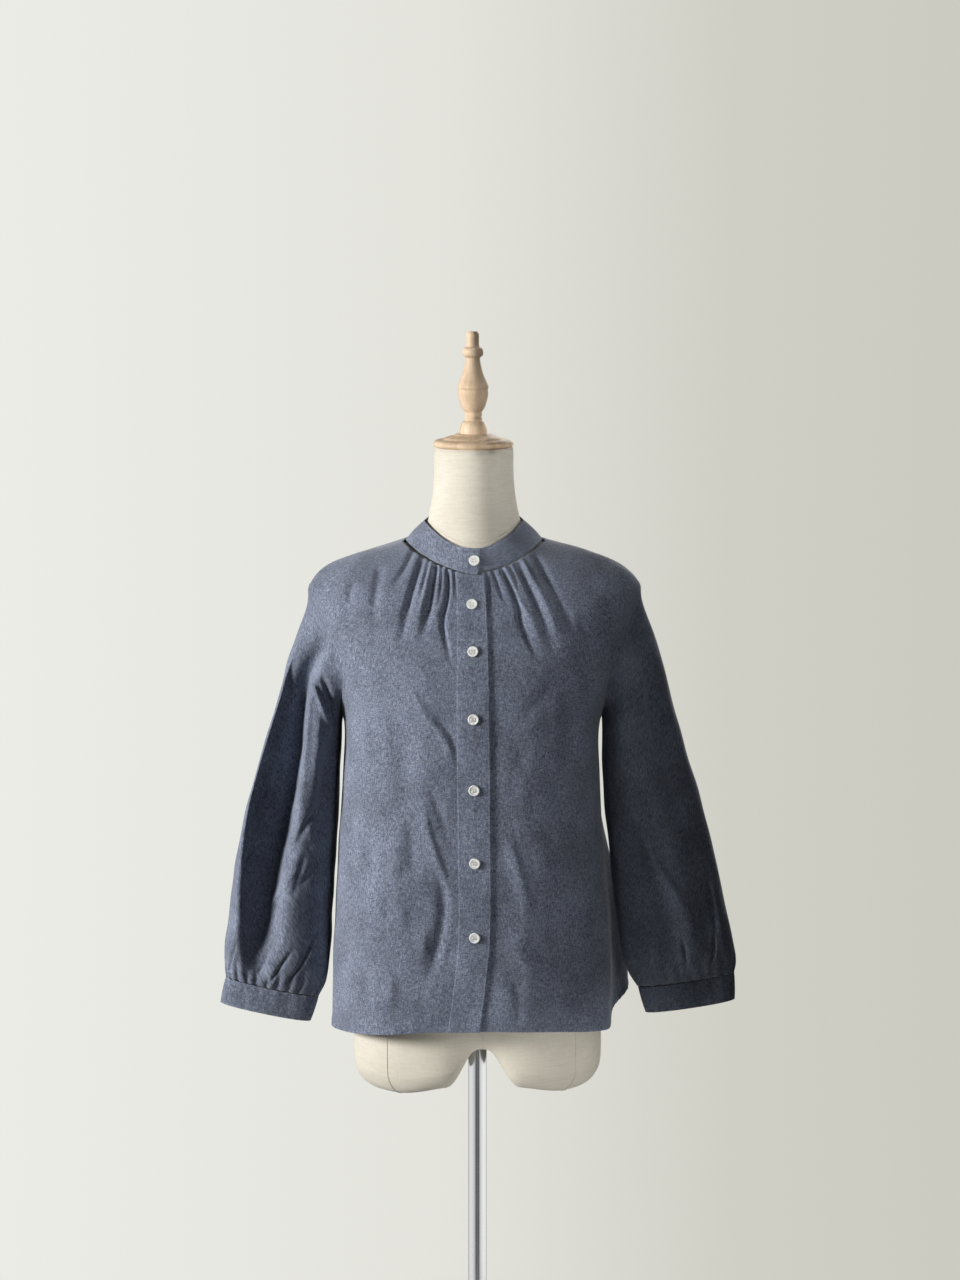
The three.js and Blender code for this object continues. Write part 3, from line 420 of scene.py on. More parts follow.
RING_KEYS = (0.0, 0.18, 0.34, 0.5, 0.64, 0.74, 0.82, 0.88, 0.91, 0.95, 1.0)
RING_ROWS = {
    "z_front": (732, 851, 955, 1058, 1146, 1206, 1250, 1280, 1294, 1313, 1335),
    "z_side": (712, 838, 948, 1050, 1128, 1196, 1262, 1309, 1337, 1357, 1374),
    "z_back": (778, 876, 965, 1058, 1135, 1196, 1255, 1300, 1330, 1366, 1398),
    "left": (199, 195, 188, 181, 178, 192, 213, 224, 203, 158, 92),
    "right": (183, 183, 174, 168, 169, 190, 213, 224, 202, 158, 92),
    "front": (134, 136, 139, 143, 145, 137, 122, 110, 104, 95, 85),
    "back": (152, 143, 134, 128, 126, 125, 121, 114, 106, 92, 72),
    "square": (2.5, 2.5, 2.5, 2.5, 2.5, 2.4, 2.3, 2.2, 2.15, 2.1, 2.0),
}
HEM_BOW = 1.2
ARMPIT = 0.655
SHOULDER = 0.88
NECKLINE = 1.0
NECK_Z = 1335.0

# Long soft waves of the hanging body: degrees from the front, half width, depth at the hem, and fade.
DRAPES = (
    (-64, 11, -4, 0.5),
    (-36, 12, 5, 0.52),
    (34, 11, -4, 0.4),
    (62, 10, 5, 0.5),
    (121, 14, 50, 0.62),
    (146, 9, -9, 0.66),
    (172, 13, 8, 0.6),
    (204, 10, -9, 0.64),
    (232, 13, 9, 0.7),
)


def gather(line: tuple, depth: float, left: float, right: float, spread: float = 1.6) -> Crease:
    """Return a gather that hangs from the collar seam and opens as it dies out."""
    return Crease(line, depth, left, right, spread, full=0.1, last=0.45)


FRONT_GATHERS = (
    gather(((-80, 1366), (-90, 1345), (-100, 1328), (-116, 1308)), 4, 2.4, 4),
    gather(((-67, 1360), (-82, 1310), (-90, 1277), (-101, 1228)), 6.5, 3.6, 4),
    gather(((-50, 1350), (-56, 1307), (-60, 1285), (-72, 1238)), 6.5, 3, 3.6),
    gather(((-37, 1345), (-34, 1326), (-35, 1301), (-41, 1271), (-34, 1235), (-28, 1208)), 7, 2.8, 1.8),
    gather(((-27, 1341), (-25, 1320), (-23, 1296)), 2.6, 1.5, 1.5),
    gather(((-43, 1347), (-44, 1314), (-48, 1290)), 3, 1.6, 1.8),
    gather(((-59, 1354), (-67, 1318), (-73, 1290)), 3, 1.6, 2.2),
    gather(((-124, 1345), (-132, 1290), (-131, 1235)), 3.5, 5, 6, 1.2),
    gather(((-160, 1326), (-168, 1282), (-160, 1248)), 2.5, 4, 5, 1.2),
    gather(((-55, 1350), (-71, 1286), (-83, 1228)), -2.2, 2.4, 2.6),
    gather(((16, 1336), (19, 1311), (22, 1290)), 3, 1.5, 1.8),
    gather(((24, 1338), (33, 1312), (43, 1290)), 3.6, 1.8, 1.8),
    gather(((33, 1341), (46, 1316), (55, 1293), (60, 1267), (72, 1242), (86, 1215)), 7.5, 1.8, 4),
    gather(((43, 1345), (54, 1326), (59, 1308)), 3, 1.5, 1.7),
    gather(((53, 1349), (68, 1319), (80, 1293), (108, 1222)), 7, 3, 4.2),
    gather(((65, 1355), (76, 1333), (84, 1314)), 3, 1.6, 1.8),
    gather(((75, 1361), (96, 1323), (110, 1295), (141, 1232)), 5.6, 3.4, 4.6),
    gather(((136, 1270), (149, 1245), (160, 1220)), 2.2, 2, 3),
    gather(((38, 1343), (60, 1296), (72, 1278), (95, 1222)), -2, 2, 2.4),
    gather(((60, 1353), (94, 1293), (118, 1230)), -2.2, 2.4, 2.8),
)
FRONT_CREASES = (
    Crease(((-168, 1215), (-97, 1213), (-30, 1206)), 0.7, 1.2, 1.6),
    Crease(((25, 1194), (68, 1206), (162, 1207)), 0.8, 1.4, 1.2),
    Crease(((-90, 1196), (-62, 1152), (-40, 1126), (-22, 1080)), -2.9, 7.8, 4.4),
    Crease(((-56, 1154), (-30, 1117), (-20, 1070)), 1.9, 4.8, 7.2),
    Crease(((-115, 1180), (-99, 1123), (-92, 1055), (-88, 998)), 4.3, 13, 16.9),
    Crease(((-73, 1052), (-60, 996), (-42, 939), (-29, 900)), -3, 7.8, 4.4),
    Crease(((-64, 1070), (-46, 1021), (-32, 980)), 2.5, 5.4, 6.4),
    Crease(((-82, 1018), (-84, 975), (-80, 932)), 2.9, 9.1, 9.1),
    Crease(((-52, 966), (-42, 902), (-50, 849), (-70, 780)), 5.2, 9.1, 6.5),
    Crease(((-40, 826), (-31, 845)), 1.6, 4, 4),
    Crease(((-143, 1012), (-141, 969), (-138, 916)), 2.9, 7.8, 9.1),
    Crease(((-115, 990), (-104, 962), (-110, 925)), -2.5, 8, 8),
    Crease(((-117, 912), (-118, 872)), 2.5, 7.8, 7.8),
    Crease(((-97, 906), (-95, 864)), -2.5, 8, 8),
    Crease(((-69, 872), (-69, 826)), -1.9, 8, 4.8),
    Crease(((-166, 880), (-173, 843), (-180, 792)), 3, 8, 6.4),
    Crease(((-155, 898), (-152, 860)), -1.9, 6.4, 6.4),
    Crease(((36, 1012), (55, 949), (72, 886)), -2.3, 9.1, 5.9),
    Crease(((34, 960), (48, 915), (58, 880)), 0.9, 9.1, 9.1),
    Crease(((122, 1200), (88, 1172), (54, 1140)), 1.9, 10.4, 10.4),
    Crease(((66, 1126), (52, 1050)), 0.8, 9.1, 9.1),
    Crease(((126, 1198), (129, 1133), (133, 1050)), 3.5, 10.4, 10.4),
    Crease(((109, 1188), (107, 1090)), -1.9, 9.1, 9.1),
    Crease(((88, 1082), (114, 1020)), 0.9, 9.1, 9.1),
    Crease(((28, 872), (102, 858)), 1.4, 9.1, 7.8),
    Crease(((56, 852), (89, 829), (128, 802)), 1.6, 9.1, 9.1),
    Crease(((34, 860), (64, 823), (74, 774)), -1.9, 10.4, 10.4),
    Crease(((52, 806), (56, 736)), 1.7, 6.5, 7.8),
    Crease(((131, 896), (136, 826)), 0.8, 9.1, 9.1),
    Crease(((92, 900), (144, 918)), 0.7, 9.1, 9.1),
    Crease(((83, 1005), (104, 975), (98, 938)), 2.2, 7.8, 7.8),
    Crease(((-171, 1018), (-174, 918)), -2.2, 8, 8),
    Crease(((-154, 800), (-137, 760)), 2.2, 8, 8),
    Crease(((-106, 812), (-118, 752)), -2.2, 7.8, 7.8),
    Crease(((101, 800), (109, 746)), 2.2, 7.8, 7.8),
    Crease(((141, 833), (149, 752)), -2.2, 7.8, 7.8),
    Crease(((150, 1010), (144, 960), (150, 905)), 2.5, 7.8, 9.1),
)


def behind(line: tuple, depth: float, left: float, right: float, spread: float = 1.0) -> Crease:
    """Return a crease on the back."""
    return Crease(line, depth, left, right, spread, face=Face.BACK)


BACK_CREASES = (
    behind(((-58, 1362), (-66, 1300), (-61, 1222)), 3.2, 6, 8, 1.3),
    behind(((-12, 1372), (-6, 1290), (-14, 1170)), 3.0, 8, 10, 1.3),
    behind(((47, 1366), (52, 1286), (40, 1196)), 3.4, 8, 6, 1.3),
    behind(((-150, 1250), (-118, 1196), (-72, 1160)), 4.0, 6, 9),
    behind(((-162, 1212), (-134, 1165), (-104, 1140)), -2.6, 5, 5),
    behind(((152, 1248), (123, 1188), (84, 1146)), 4.2, 8, 6),
    behind(((160, 1206), (141, 1160), (118, 1126)), -2.8, 5, 5),
    behind(((-92, 1138), (-58, 1100), (-30, 1086)), 3.0, 5, 6),
    behind(((102, 1118), (70, 1074), (34, 1058)), 3.4, 6, 5),
    behind(((-122, 1080), (-113, 1012), (-120, 936)), 4.2, 9, 11),
    behind(((-46, 1046), (-40, 968), (-52, 882)), -3.4, 8, 6),
    behind(((18, 1030), (30, 950), (24, 868)), 4.0, 9, 8),
    behind(((84, 1050), (92, 986), (84, 912)), -3.0, 7, 7),
    behind(((128, 1020), (136, 950), (130, 884)), 3.2, 7, 9),
    behind(((-88, 930), (-70, 890), (-76, 832)), 3.2, 6, 5),
    behind(((48, 914), (64, 870), (60, 818)), 3.0, 5, 6),
    behind(((-20, 876), (-14, 834), (-20, 796)), -2.4, 5, 5),
    behind(((-140, 868), (-128, 842), (-104, 828)), 2.4, 4, 5),
    behind(((108, 872), (96, 846), (98, 810)), 2.6, 5, 5),
    behind(((-34, 1236), (20, 1230), (66, 1238)), 0.8, 1.6, 1.3),
)


@dataclass
class Garment:
    """The one surface on which every cloth piece of the body is laid, from hem (0) to neckline (1)."""

    armhole_angle: dict = field(default_factory=lambda: {Side.RIGHT: 0.53, Side.LEFT: 0.45})
    armhole_fullness: float = 0.62
    placket_heights: tuple = (733, 800, 859, 958, 1055, 1147, 1232, 1294, 1335)
    placket_left: tuple = (-38, -29, -23.5, -23, -23.5, -23.5, -22.5, -22, -22)
    placket_right: tuple = (4, 13, 18.5, 19.5, 19.5, 19, 18, 15.5, 11)
    underlap: float = 20.0
    lap: float = 1.4
    lap_ramp: float = 26.0
    droop_drop: float = 6.0
    droop_from: float = -40.0
    droop_to: float = 12.0
    droop_starts: float = 0.86
    droop_ring_height: float = 450.0
    puff_depth: float = 1.6
    puff_at: float = 50.0
    puff_half: float = 34.0
    puff_from: float = 0.9
    creases: tuple = FRONT_GATHERS + FRONT_CREASES + BACK_CREASES
    rumple: Rumple = Rumple(seed=11)

    def ring(self, at: Array) -> Oval:
        """Return the garment's ring at a level."""
        columns = {name: through(RING_KEYS, row, at) for name, row in RING_ROWS.items()}
        return Oval(**columns, bow=mix(HEM_BOW, 2.0, smooth(0.0, 0.5, at)))

    def point(self, at: Array, angle: Array) -> Array:
        """Return the plain surface's point."""
        return self.ring(at).point(angle)

    def outward(self, at: Array, angle: Array) -> Array:
        """Return the plain surface's outward direction."""
        return outward(self.point, np.minimum(at, NECKLINE - 0.004), angle)

    def drapes(self, at: Array, angle: Array) -> Array:
        """Return the lift of the hanging cloth's long waves."""
        turned_by = np.degrees(angle)
        total = np.zeros(np.broadcast(at, angle).shape)
        for turn, half, depth, fade in DRAPES:
            apart = (turned_by - turn + 540) % 360 - 180
            total += depth * bell(apart, half) * (1 - smooth(0.0, fade, at))
        return total

    def folds(self, at: Array, angle: Array, base: Array) -> Array:
        """Return the lift of all folds at a place of the surface."""
        in_front = np.broadcast_to(np.cos(angle) > 0, base.shape[:-1])
        lift = self.drapes(at, angle) - creased(self.creases, base, in_front)
        puff = self.puff_depth * smooth(self.puff_from, 1.0, at)
        lift += np.where(in_front, puff * bell(np.abs(base[..., 0]) - self.puff_at, self.puff_half), 0.0)
        return lift + self.rumple.at(base)

    def cloth(self, at: Array, angle: Array, lift: Array = 0.0) -> Array:
        """Return a point of the folded cloth."""
        at, angle = np.broadcast_arrays(np.asarray(at, float), np.asarray(angle, float))
        base = self.point(at, angle)
        rise = self.folds(at, angle, base) + lift
        return base + self.outward(at, angle) * rise[..., None]

    def upper_cloth(self, at: Array, angle: Array, lift: Array = 0.0) -> Array:
        """Return a point of the upper front, which rises on to the lower one and sinks at the neck."""
        at, angle = np.broadcast_arrays(np.asarray(at, float), np.asarray(angle, float))
        x = self.point(at, angle)[..., 0]
        lower_end = self.placket_edge("right", at) - self.underlap
        sunk = self.droop(x) * smooth(self.droop_starts, 1.0, at) / self.droop_ring_height
        lapped = self.lap * (1 - smooth(1.0, self.lap_ramp + 1.0, lower_end - x))
        return self.cloth(at - sunk, angle, lapped + lift)

    def droop(self, x: Array) -> Array:
        """Return how far the upper front sinks at the neckline, at a distance across."""
        return self.droop_drop * smooth(self.droop_from, self.droop_to, x)

    def placket_edge(self, name: str, at: Array) -> Array:
        """Return the left or right edge of the placket at a level."""
        row = self.placket_left if name == "left" else self.placket_right
        return through(self.placket_heights, row, self.ring(at).z_front)

    def angle_across(self, at: Array, x: Array) -> Array:
        """Return the angle at which the surface is at a distance across the front."""
        ring = self.ring(at)
        return np.arcsin(np.clip(x / np.where(x < 0, ring.left, ring.right), -1.0, 1.0))

    def armhole_turn(self, at: Array, side: Side) -> Array:
        """Return how far the armhole's edge stands from the side line, in radians."""
        up = np.clip((at - ARMPIT) / (SHOULDER - ARMPIT), 0.0, 1.0)
        return self.armhole_angle[side] * np.sin(math.pi * up) ** self.armhole_fullness

    def level_at_height(self, z: float) -> float:
        """Return the ring at which the front's middle is at a height."""
        levels = np.linspace(0.0, 1.0, 4001)
        return float(np.interp(z, self.ring(levels).z_front, levels))

    def armhole_place(self, side: Side, turn: Array, away: float = 0.0) -> tuple:
        """Return the level and angle of the armhole's edge, or of a line at a distance round it.

        Args:
            side: The wearer's side.
            turn: 0 at the shoulder, a quarter at the front, a half at the armpit.
            away: Distance outside the edge, in millimetres.

        Returns:
            The level and the angle.
        """
        at = mix(SHOULDER, ARMPIT, (1 - np.cos(turn)) / 2)
        to_front = np.where(np.sin(turn) >= 0, 1.0, -1.0)
        angle = side.value * (RIGHT_ANGLE - to_front * self.armhole_turn(at, side))
        step = 0.004
        per_level = np.linalg.norm(self.point(at + step, angle) - self.point(at - step, angle), axis=-1) / (2 * step)
        per_turn = np.linalg.norm(self.point(at, angle + step) - self.point(at, angle - step), axis=-1) / (2 * step)
        moved = side.value * -to_front * away * np.abs(np.sin(turn)) / per_turn
        return at + away * np.cos(turn) / per_level, angle + moved


@dataclass
class Armhole:
    """The edge of one armhole, sampled once so that sleeve and panels share it."""

    garment: Garment
    side: Side
    samples: int = 721

    def __post_init__(self) -> None:
        """Sample the edge."""
        self.turns = np.linspace(0.0, FULL_TURN, self.samples)
        at, angle = self.garment.armhole_place(self.side, self.turns)
        self.edge = self.garment.cloth(at, angle)
        middle_level = np.array(mix(SHOULDER, ARMPIT, 0.5))
        middle = self.garment.point(middle_level, np.array(self.side.value * RIGHT_ANGLE))
        into = middle - self.edge
        flat = self.garment.outward(at, angle)
        into -= flat * np.sum(into * flat, axis=-1, keepdims=True)
        self.loop = self.edge + unit(into) * SEAM

    def at(self, turn: Array) -> Array:
        """Return the sleeve's own edge at a turn."""
        turn = np.mod(turn, FULL_TURN)
        return np.stack([np.interp(turn, self.turns, self.loop[:, i]) for i in range(3)], axis=-1)

    def distance(self, points: Array) -> Array:
        """Return how far points lie from the edge."""
        best = np.full(points.shape[0], np.inf)
        for start in self.edge[::3]:
            best = np.minimum(best, np.linalg.norm(points - start, axis=1))
        return best


# The cloth pieces


@dataclass
class BodyPanels:
    """The two fronts and the back, with felled armhole seams and a turned-up hem."""

    garment: Garment
    armholes: dict
    wall: float = 1.0
    felled_width: float = 7.0
    felled_lift: float = 0.5
    hem_width: float = 8.0
    hem_lift: float = 0.55
    rope_pitch: float = 6.4
    rope_depth: float = 0.7
    rows: tuple = ((0, 0), (0.06, 0.015), (0.52, ARMPIT), (0.8, SHOULDER), (1, 0.9972))
    row_count: int = 200
    front_columns: int = 150
    back_columns: int = 140

    def trim(self, points: Array, at: Array, angle: Array) -> Array:
        """Return the lift of the hem's fold, its roping and the felled seams."""
        hem = self.garment.point(np.zeros_like(at), angle)
        height = np.maximum(at, 0.0) * 680.0
        run = hem[:, 0] * np.cos(angle) + hem[:, 1] * np.sin(angle) + 190 * angle
        rope = np.sin(FULL_TURN * (run + 0.5 * height) / self.rope_pitch + 1.7 * np.sin(run / 31.0))
        fold = 1 - smooth(self.hem_width - 0.8, self.hem_width + 0.8, height)
        lift = fold * (self.hem_lift + self.rope_depth * rope * (0.55 + 0.45 * np.sin(run / 47.0)))
        to_seam = np.minimum(
            self.armholes[Side.RIGHT].distance(points),
            self.armholes[Side.LEFT].distance(points),
        )
        felled = 1 - smooth(self.felled_width - 0.6, self.felled_width + 0.8, to_seam)
        in_seam = smooth(0.2, 1.2, to_seam)
        return lift + self.felled_lift * felled * in_seam

    def front(self, side: Side) -> bpy.types.Object:
        """Build one front, from the placket to the side seam, armhole and shoulder."""
        is_upper = side is Side.RIGHT
        seam_turn = SEAM / 2 / 120.0

        def place(u: Array, v: Array, lift: float) -> Array:
            """Return the front's points."""
            across = spaced(((0, 0), (0.55, 0.43), (1, 1)), u)
            at = spaced(self.rows, v)
            edge = self.garment.placket_edge("right", at) - (0.0 if is_upper else self.garment.underlap)
            start = self.garment.angle_across(at, edge)
            end = side.value * (RIGHT_ANGLE - self.garment.armhole_turn(at, side) - seam_turn)
            angle = mix(start, end, across)
            trim = self.trim(self.garment.point(at, angle), at, angle)
            lay = self.garment.upper_cloth if is_upper else self.garment.cloth
            return lay(at, angle, trim + lift)

        name = f"shirt_front_{side.name.lower()}"
        return lay_cloth(name, self.front_columns, self.row_count, place, self.wall)

    def back(self) -> bpy.types.Object:
        """Build the back, from side to side."""
        seam_turn = SEAM / 2 / 120.0

        def place(u: Array, v: Array, lift: float) -> Array:
            """Return the back's points."""
            at = spaced(self.rows, v)
            start = RIGHT_ANGLE + self.garment.armhole_turn(at, Side.LEFT) + seam_turn
            end = FULL_TURN - (RIGHT_ANGLE + self.garment.armhole_turn(at, Side.RIGHT) + seam_turn)
            angle = mix(start, end, u)
            trim = self.trim(self.garment.point(at, angle), at, angle)
            return self.garment.cloth(at, angle, trim + lift)

        return lay_cloth("shirt_back", self.back_columns, self.row_count, place, self.wall)

    def build(self, chambray: bpy.types.Material) -> None:
        """Build and dress the three panels."""
        for side in Side:
            front = dress(self.front(side), chambray, "chambray", f"front_{side.name.lower()}")
        back = dress(self.back(), chambray, "chambray", "back")


@dataclass
class Placket:
    """The buttoned band on the upper front's edge, from under the collar to the hem."""

    garment: Garment
    gap: float = 0.5
    band: float = 1.1
    wall: float = 0.6
    top: float = 0.9985
    join_z: float = 1246.0
    columns: int = 30
    row_count: int = 320

    def face(self, at: Array, x: Array, lift: Array = 0.0) -> Array:
        """Return a point on the placket's face at a distance across."""
        return self.garment.upper_cloth(at, self.garment.angle_across(at, x), self.gap + self.band + lift)

    def edges(self, at: Array) -> tuple:
        """Return the placket's two edges at a level."""
        return self.garment.placket_edge("left", at), self.garment.placket_edge("right", at) - 0.2

    def relief(self, u: Array, at: Array) -> Array:
        """Return the stitched grooves beside both edges and the puckers between them."""
        z = self.garment.ring(at).z_front
        width = 42.0
        from_edge = np.minimum(u, 1 - u) * width
        groove = -0.35 * bell(from_edge - 2.2, 0.7)
        pucker = 0.22 * bell(from_edge - 1.0, 2.4) * np.sin(z / 2.3 + 2.1 * np.sin(z / 17.0))
        join = -0.4 * bell(z - self.join_z, 1.1) + 0.3 * smooth(0.0, 3.0, z - self.join_z) * bell(z - self.join_z, 9.0)
        over_hem = 1.7 * (1 - smooth(9.0, 18.0, at * 680.0))
        return groove + pucker + join + over_hem

    def build(self, chambray: bpy.types.Material) -> None:
        """Build and dress the placket."""

        def place(u: Array, v: Array, lift: float) -> Array:
            """Return the placket's points."""
            at = spaced(((0, 0), (0.03, 0.012), (0.6, 0.74), (1, self.top)), v)
            left, right = self.edges(at)
            return self.face(at, mix(left, right, u), self.relief(u, at) + lift)

        piece = lay_cloth("shirt_placket", self.columns, self.row_count, place, self.wall)
        dress(piece, chambray, "chambray", "placket")


@dataclass
class BandCollar:
    """The band collar, from its upper end past the middle, round the neck, to its lower end."""

    garment: Garment
    tab: float = 12.5
    tab_slant: float = 7.5
    underlap: float = 12.0
    lap: float = 2.1
    height: float = 31.0
    bulge: float = 1.6
    wall: float = 1.0
    columns: int = 240
    row_count: int = 18
    top: Oval = Oval(1364.0, 1400.0, 1429.0, 67.0, 66.5, 73.0, 62.0, 2.0, 2.0)

    def surface(self, up: Array, angle: Array) -> Array:
        """Return the plain band's point, from seam (0) to top edge (1)."""
        low = self.garment.ring(np.array(NECKLINE)).point(angle)
        high = self.top.point(angle)
        swollen = self.bulge * np.sin(math.pi * np.clip(up, 0.0, 1.0))
        round_it = np.stack([np.sin(angle), -np.cos(angle), np.zeros_like(angle)], axis=-1)
        return mix(low, high, up[..., None]) + round_it * swollen[..., None]

    def point(self, up: Array, angle: Array, lift: Array) -> Array:
        """Return a point at a lift off the plain band."""
        up, angle, lift = np.broadcast_arrays(*(np.asarray(part, float) for part in (up, angle, lift)))
        return self.surface(up, angle) + outward(self.surface, up, angle) * lift[..., None]

    def face(self, up: Array, angle: Array, lift: Array = 0.0) -> Array:
        """Return a point of the worn band: its upper end lies outside and droops."""
        up, angle, lift = np.broadcast_arrays(*(np.asarray(part, float) for part in (up, angle, lift)))
        over = self.lap * (1 - smooth(0.1, 0.42, -angle))
        x = self.point(up, angle, 0.0)[..., 0]
        sunk = np.where(angle > -1, self.garment.droop(x), 0.0)
        point = self.point(up - (1 - up) * sunk / self.height, angle, over + lift)
        point[..., 2] += SEAM
        return point

    def ends(self, up: Array) -> tuple:
        """Return the angles of the upper and lower ends."""
        upper = self.garment.angle_across(np.array(NECKLINE), mix(self.tab - self.tab_slant, self.tab, up))
        lower = self.garment.angle_across(np.array(NECKLINE), np.array(-self.underlap)) - FULL_TURN
        return upper, lower

    def build(self, chambray: bpy.types.Material) -> None:
        """Build and dress the collar."""

        def place(u: Array, v: Array, lift: float) -> Array:
            """Return the collar's points."""
            up = spaced(((0, 0), (0.2, 0.09), (0.8, 0.91), (1, 1)), v)
            upper, lower = self.ends(up)
            angle = mix(upper, lower, u)
            run = angle * 74.0
            from_edge = np.minimum(up, 1 - up) * self.height
            groove = -0.32 * bell(from_edge - 2.3, 0.7)
            pucker = 0.16 * bell(from_edge, 3.0) * np.sin(run / 2.1 + 1.9 * np.sin(run / 13.0))
            soft = 0.35 * np.sin(run / 19.0 + 0.6) * np.sin(math.pi * up)
            return self.face(up, angle, groove + pucker + soft + lift)

        piece = lay_cloth("shirt_collar", self.columns, self.row_count, place, self.wall)
        dress(piece, chambray, "chambray", "collar")


SLEEVE_KEYS = (0.0, 0.1, 0.25, 0.4, 0.55, 0.7, 0.82, 0.92, 0.97, 1.0)
SLEEVE_FRONT = (-57, -61, -61, -60, -57, -53, -48, -41, -29, -19)
SLEEVE_BACK = (53, 57, 61, 63, 62, 60, 57, 50, 36, 19)
SLEEVE_SQUARE = 2.3
SLEEVE_LEAVE_OVER = 0.22
SLEEVE_LEAVE_POWER = 2.4
INNER_SLACK = 0.7
CREST_HALF = 17.0
PLEAT_LINE = 74.0
PLEAT_REACH = 72.0
CUFF_DEPTH = 19.0


@dataclass(frozen=True)
class SleeveShape:
    """The driving sizes of one sleeve and its cuff, as distances from the middle of the body."""

    side: Side
    outer: tuple
    inner: tuple
    pleat_keys: tuple
    pleats: dict
    folds: tuple
    creases: tuple
    top: dict
    bottom: dict
    seed: int


def at_cuff(line: tuple, depth: float, left: float, right: float, face: Face = Face.FRONT) -> Crease:
    """Return a gather that runs down to the cuff, narrow there."""
    return Crease(line, depth, left, right, 0.6, full=0.4, last=0.9, face=face)


RIGHT_SLEEVE = SleeveShape(
    side=Side.RIGHT,
    outer=(224, 243, 262, 287, 311, 329, 338, 346, 347, 345),
    inner=(178, 181, 183, 186, 190, 196, 200, 203, 208, 218),
    pleat_keys=(0, 0.05, 0.12, 0.22, 0.4, 0.55, 0.7, 0.85, 1),
    pleats={
        "turn": (68, 71, 73, 75, 84, 84, 80, 76, 68),
        "before": (9, 12, 19, 27, 36, 34, 27, 21, 12),
        "after": (6, 6, 6, 6, 7, 9, 12, 13, 12),
        "back": (0, 11, 25, 38, 50, 50, 42, 30, 0),
        "crest": (30, 30, 26, 18, 16, 20, 32, 40, 44),
        "ridge": (0, 1, 9, 20, 26, 24, 16, 9, 0),
    },
    folds=((112, 14, 9, 0.12, 0.5, -4), (136, -16, 13, 0.2, 0.62, 8), (262, 8, 18, 0.12, 0.88, 9), (212, 0, 19, 0.26, 0.99, -6)),
    creases=(
        Crease(((-222, 1210), (-204, 1156), (-189, 1106), (-185, 1092)), -5, 4, 2),
        Crease(((-207, 1208), (-193, 1163), (-184, 1110)), 5, 3, 4),
        Crease(((-184, 1046), (-208, 1020), (-234, 984), (-256, 930)), 2.4, 4, 6),
        Crease(((-190, 1024), (-210, 1000), (-228, 962)), -2.2, 5, 5),
        Crease(((-228, 962), (-238, 928), (-250, 890)), 1.8, 4, 4),
        Crease(((-206, 966), (-224, 928), (-250, 896)), 2.2, 4, 5),
        Crease(((-240, 938), (-266, 898), (-294, 852)), -2.6, 5, 3),
        Crease(((-228, 1000), (-214, 958), (-216, 916)), -1.8, 5, 5),
        Crease(((-206, 1064), (-206, 1032), (-218, 1000), (-240, 960)), -1.6, 4, 3.4),
        Crease(((-302, 970), (-314, 930)), 2, 3, 3),
        Crease(((-240, 1240), (-246, 1196), (-252, 1150)), 2.2, 4, 5),
        Crease(((-262, 1085), (-272, 1040), (-283, 1000)), 2.4, 4, 4),
        at_cuff(((-274, 835), (-286, 811), (-299, 782)), 4, 3, 2),
        at_cuff(((-246, 826), (-264, 800), (-282, 772)), 4, 3, 2),
        at_cuff(((-212, 854), (-238, 800), (-262, 766)), 4.2, 3, 2.2),
        at_cuff(((-325, 832), (-332, 813), (-340, 786)), 3, 2, 2),
        Crease(((-206, 1230), (-222, 1160), (-230, 1090)), 5, 7, 9, face=Face.BACK),
        Crease(((-240, 1180), (-252, 1110), (-250, 1040)), -3.4, 6, 7, face=Face.BACK),
        Crease(((-262, 1060), (-236, 1004), (-204, 968)), 4.2, 5, 6, face=Face.BACK),
        Crease(((-290, 1010), (-282, 940), (-296, 880)), 4.0, 6, 7, face=Face.BACK),
        Crease(((-222, 930), (-246, 890), (-256, 846)), -3.2, 5, 4, face=Face.BACK),
        at_cuff(((-300, 850), (-306, 816), (-312, 780)), 3.6, 3, 3, Face.BACK),
        at_cuff(((-262, 838), (-270, 806), (-276, 772)), 3.8, 3, 3, Face.BACK),
    ),
    top={"outer": 345, "z_outer": 777, "inner": 218, "z_inner": 748},
    bottom={"outer": 353, "z_outer": 742, "inner": 229, "z_inner": 715},
    seed=5,
)
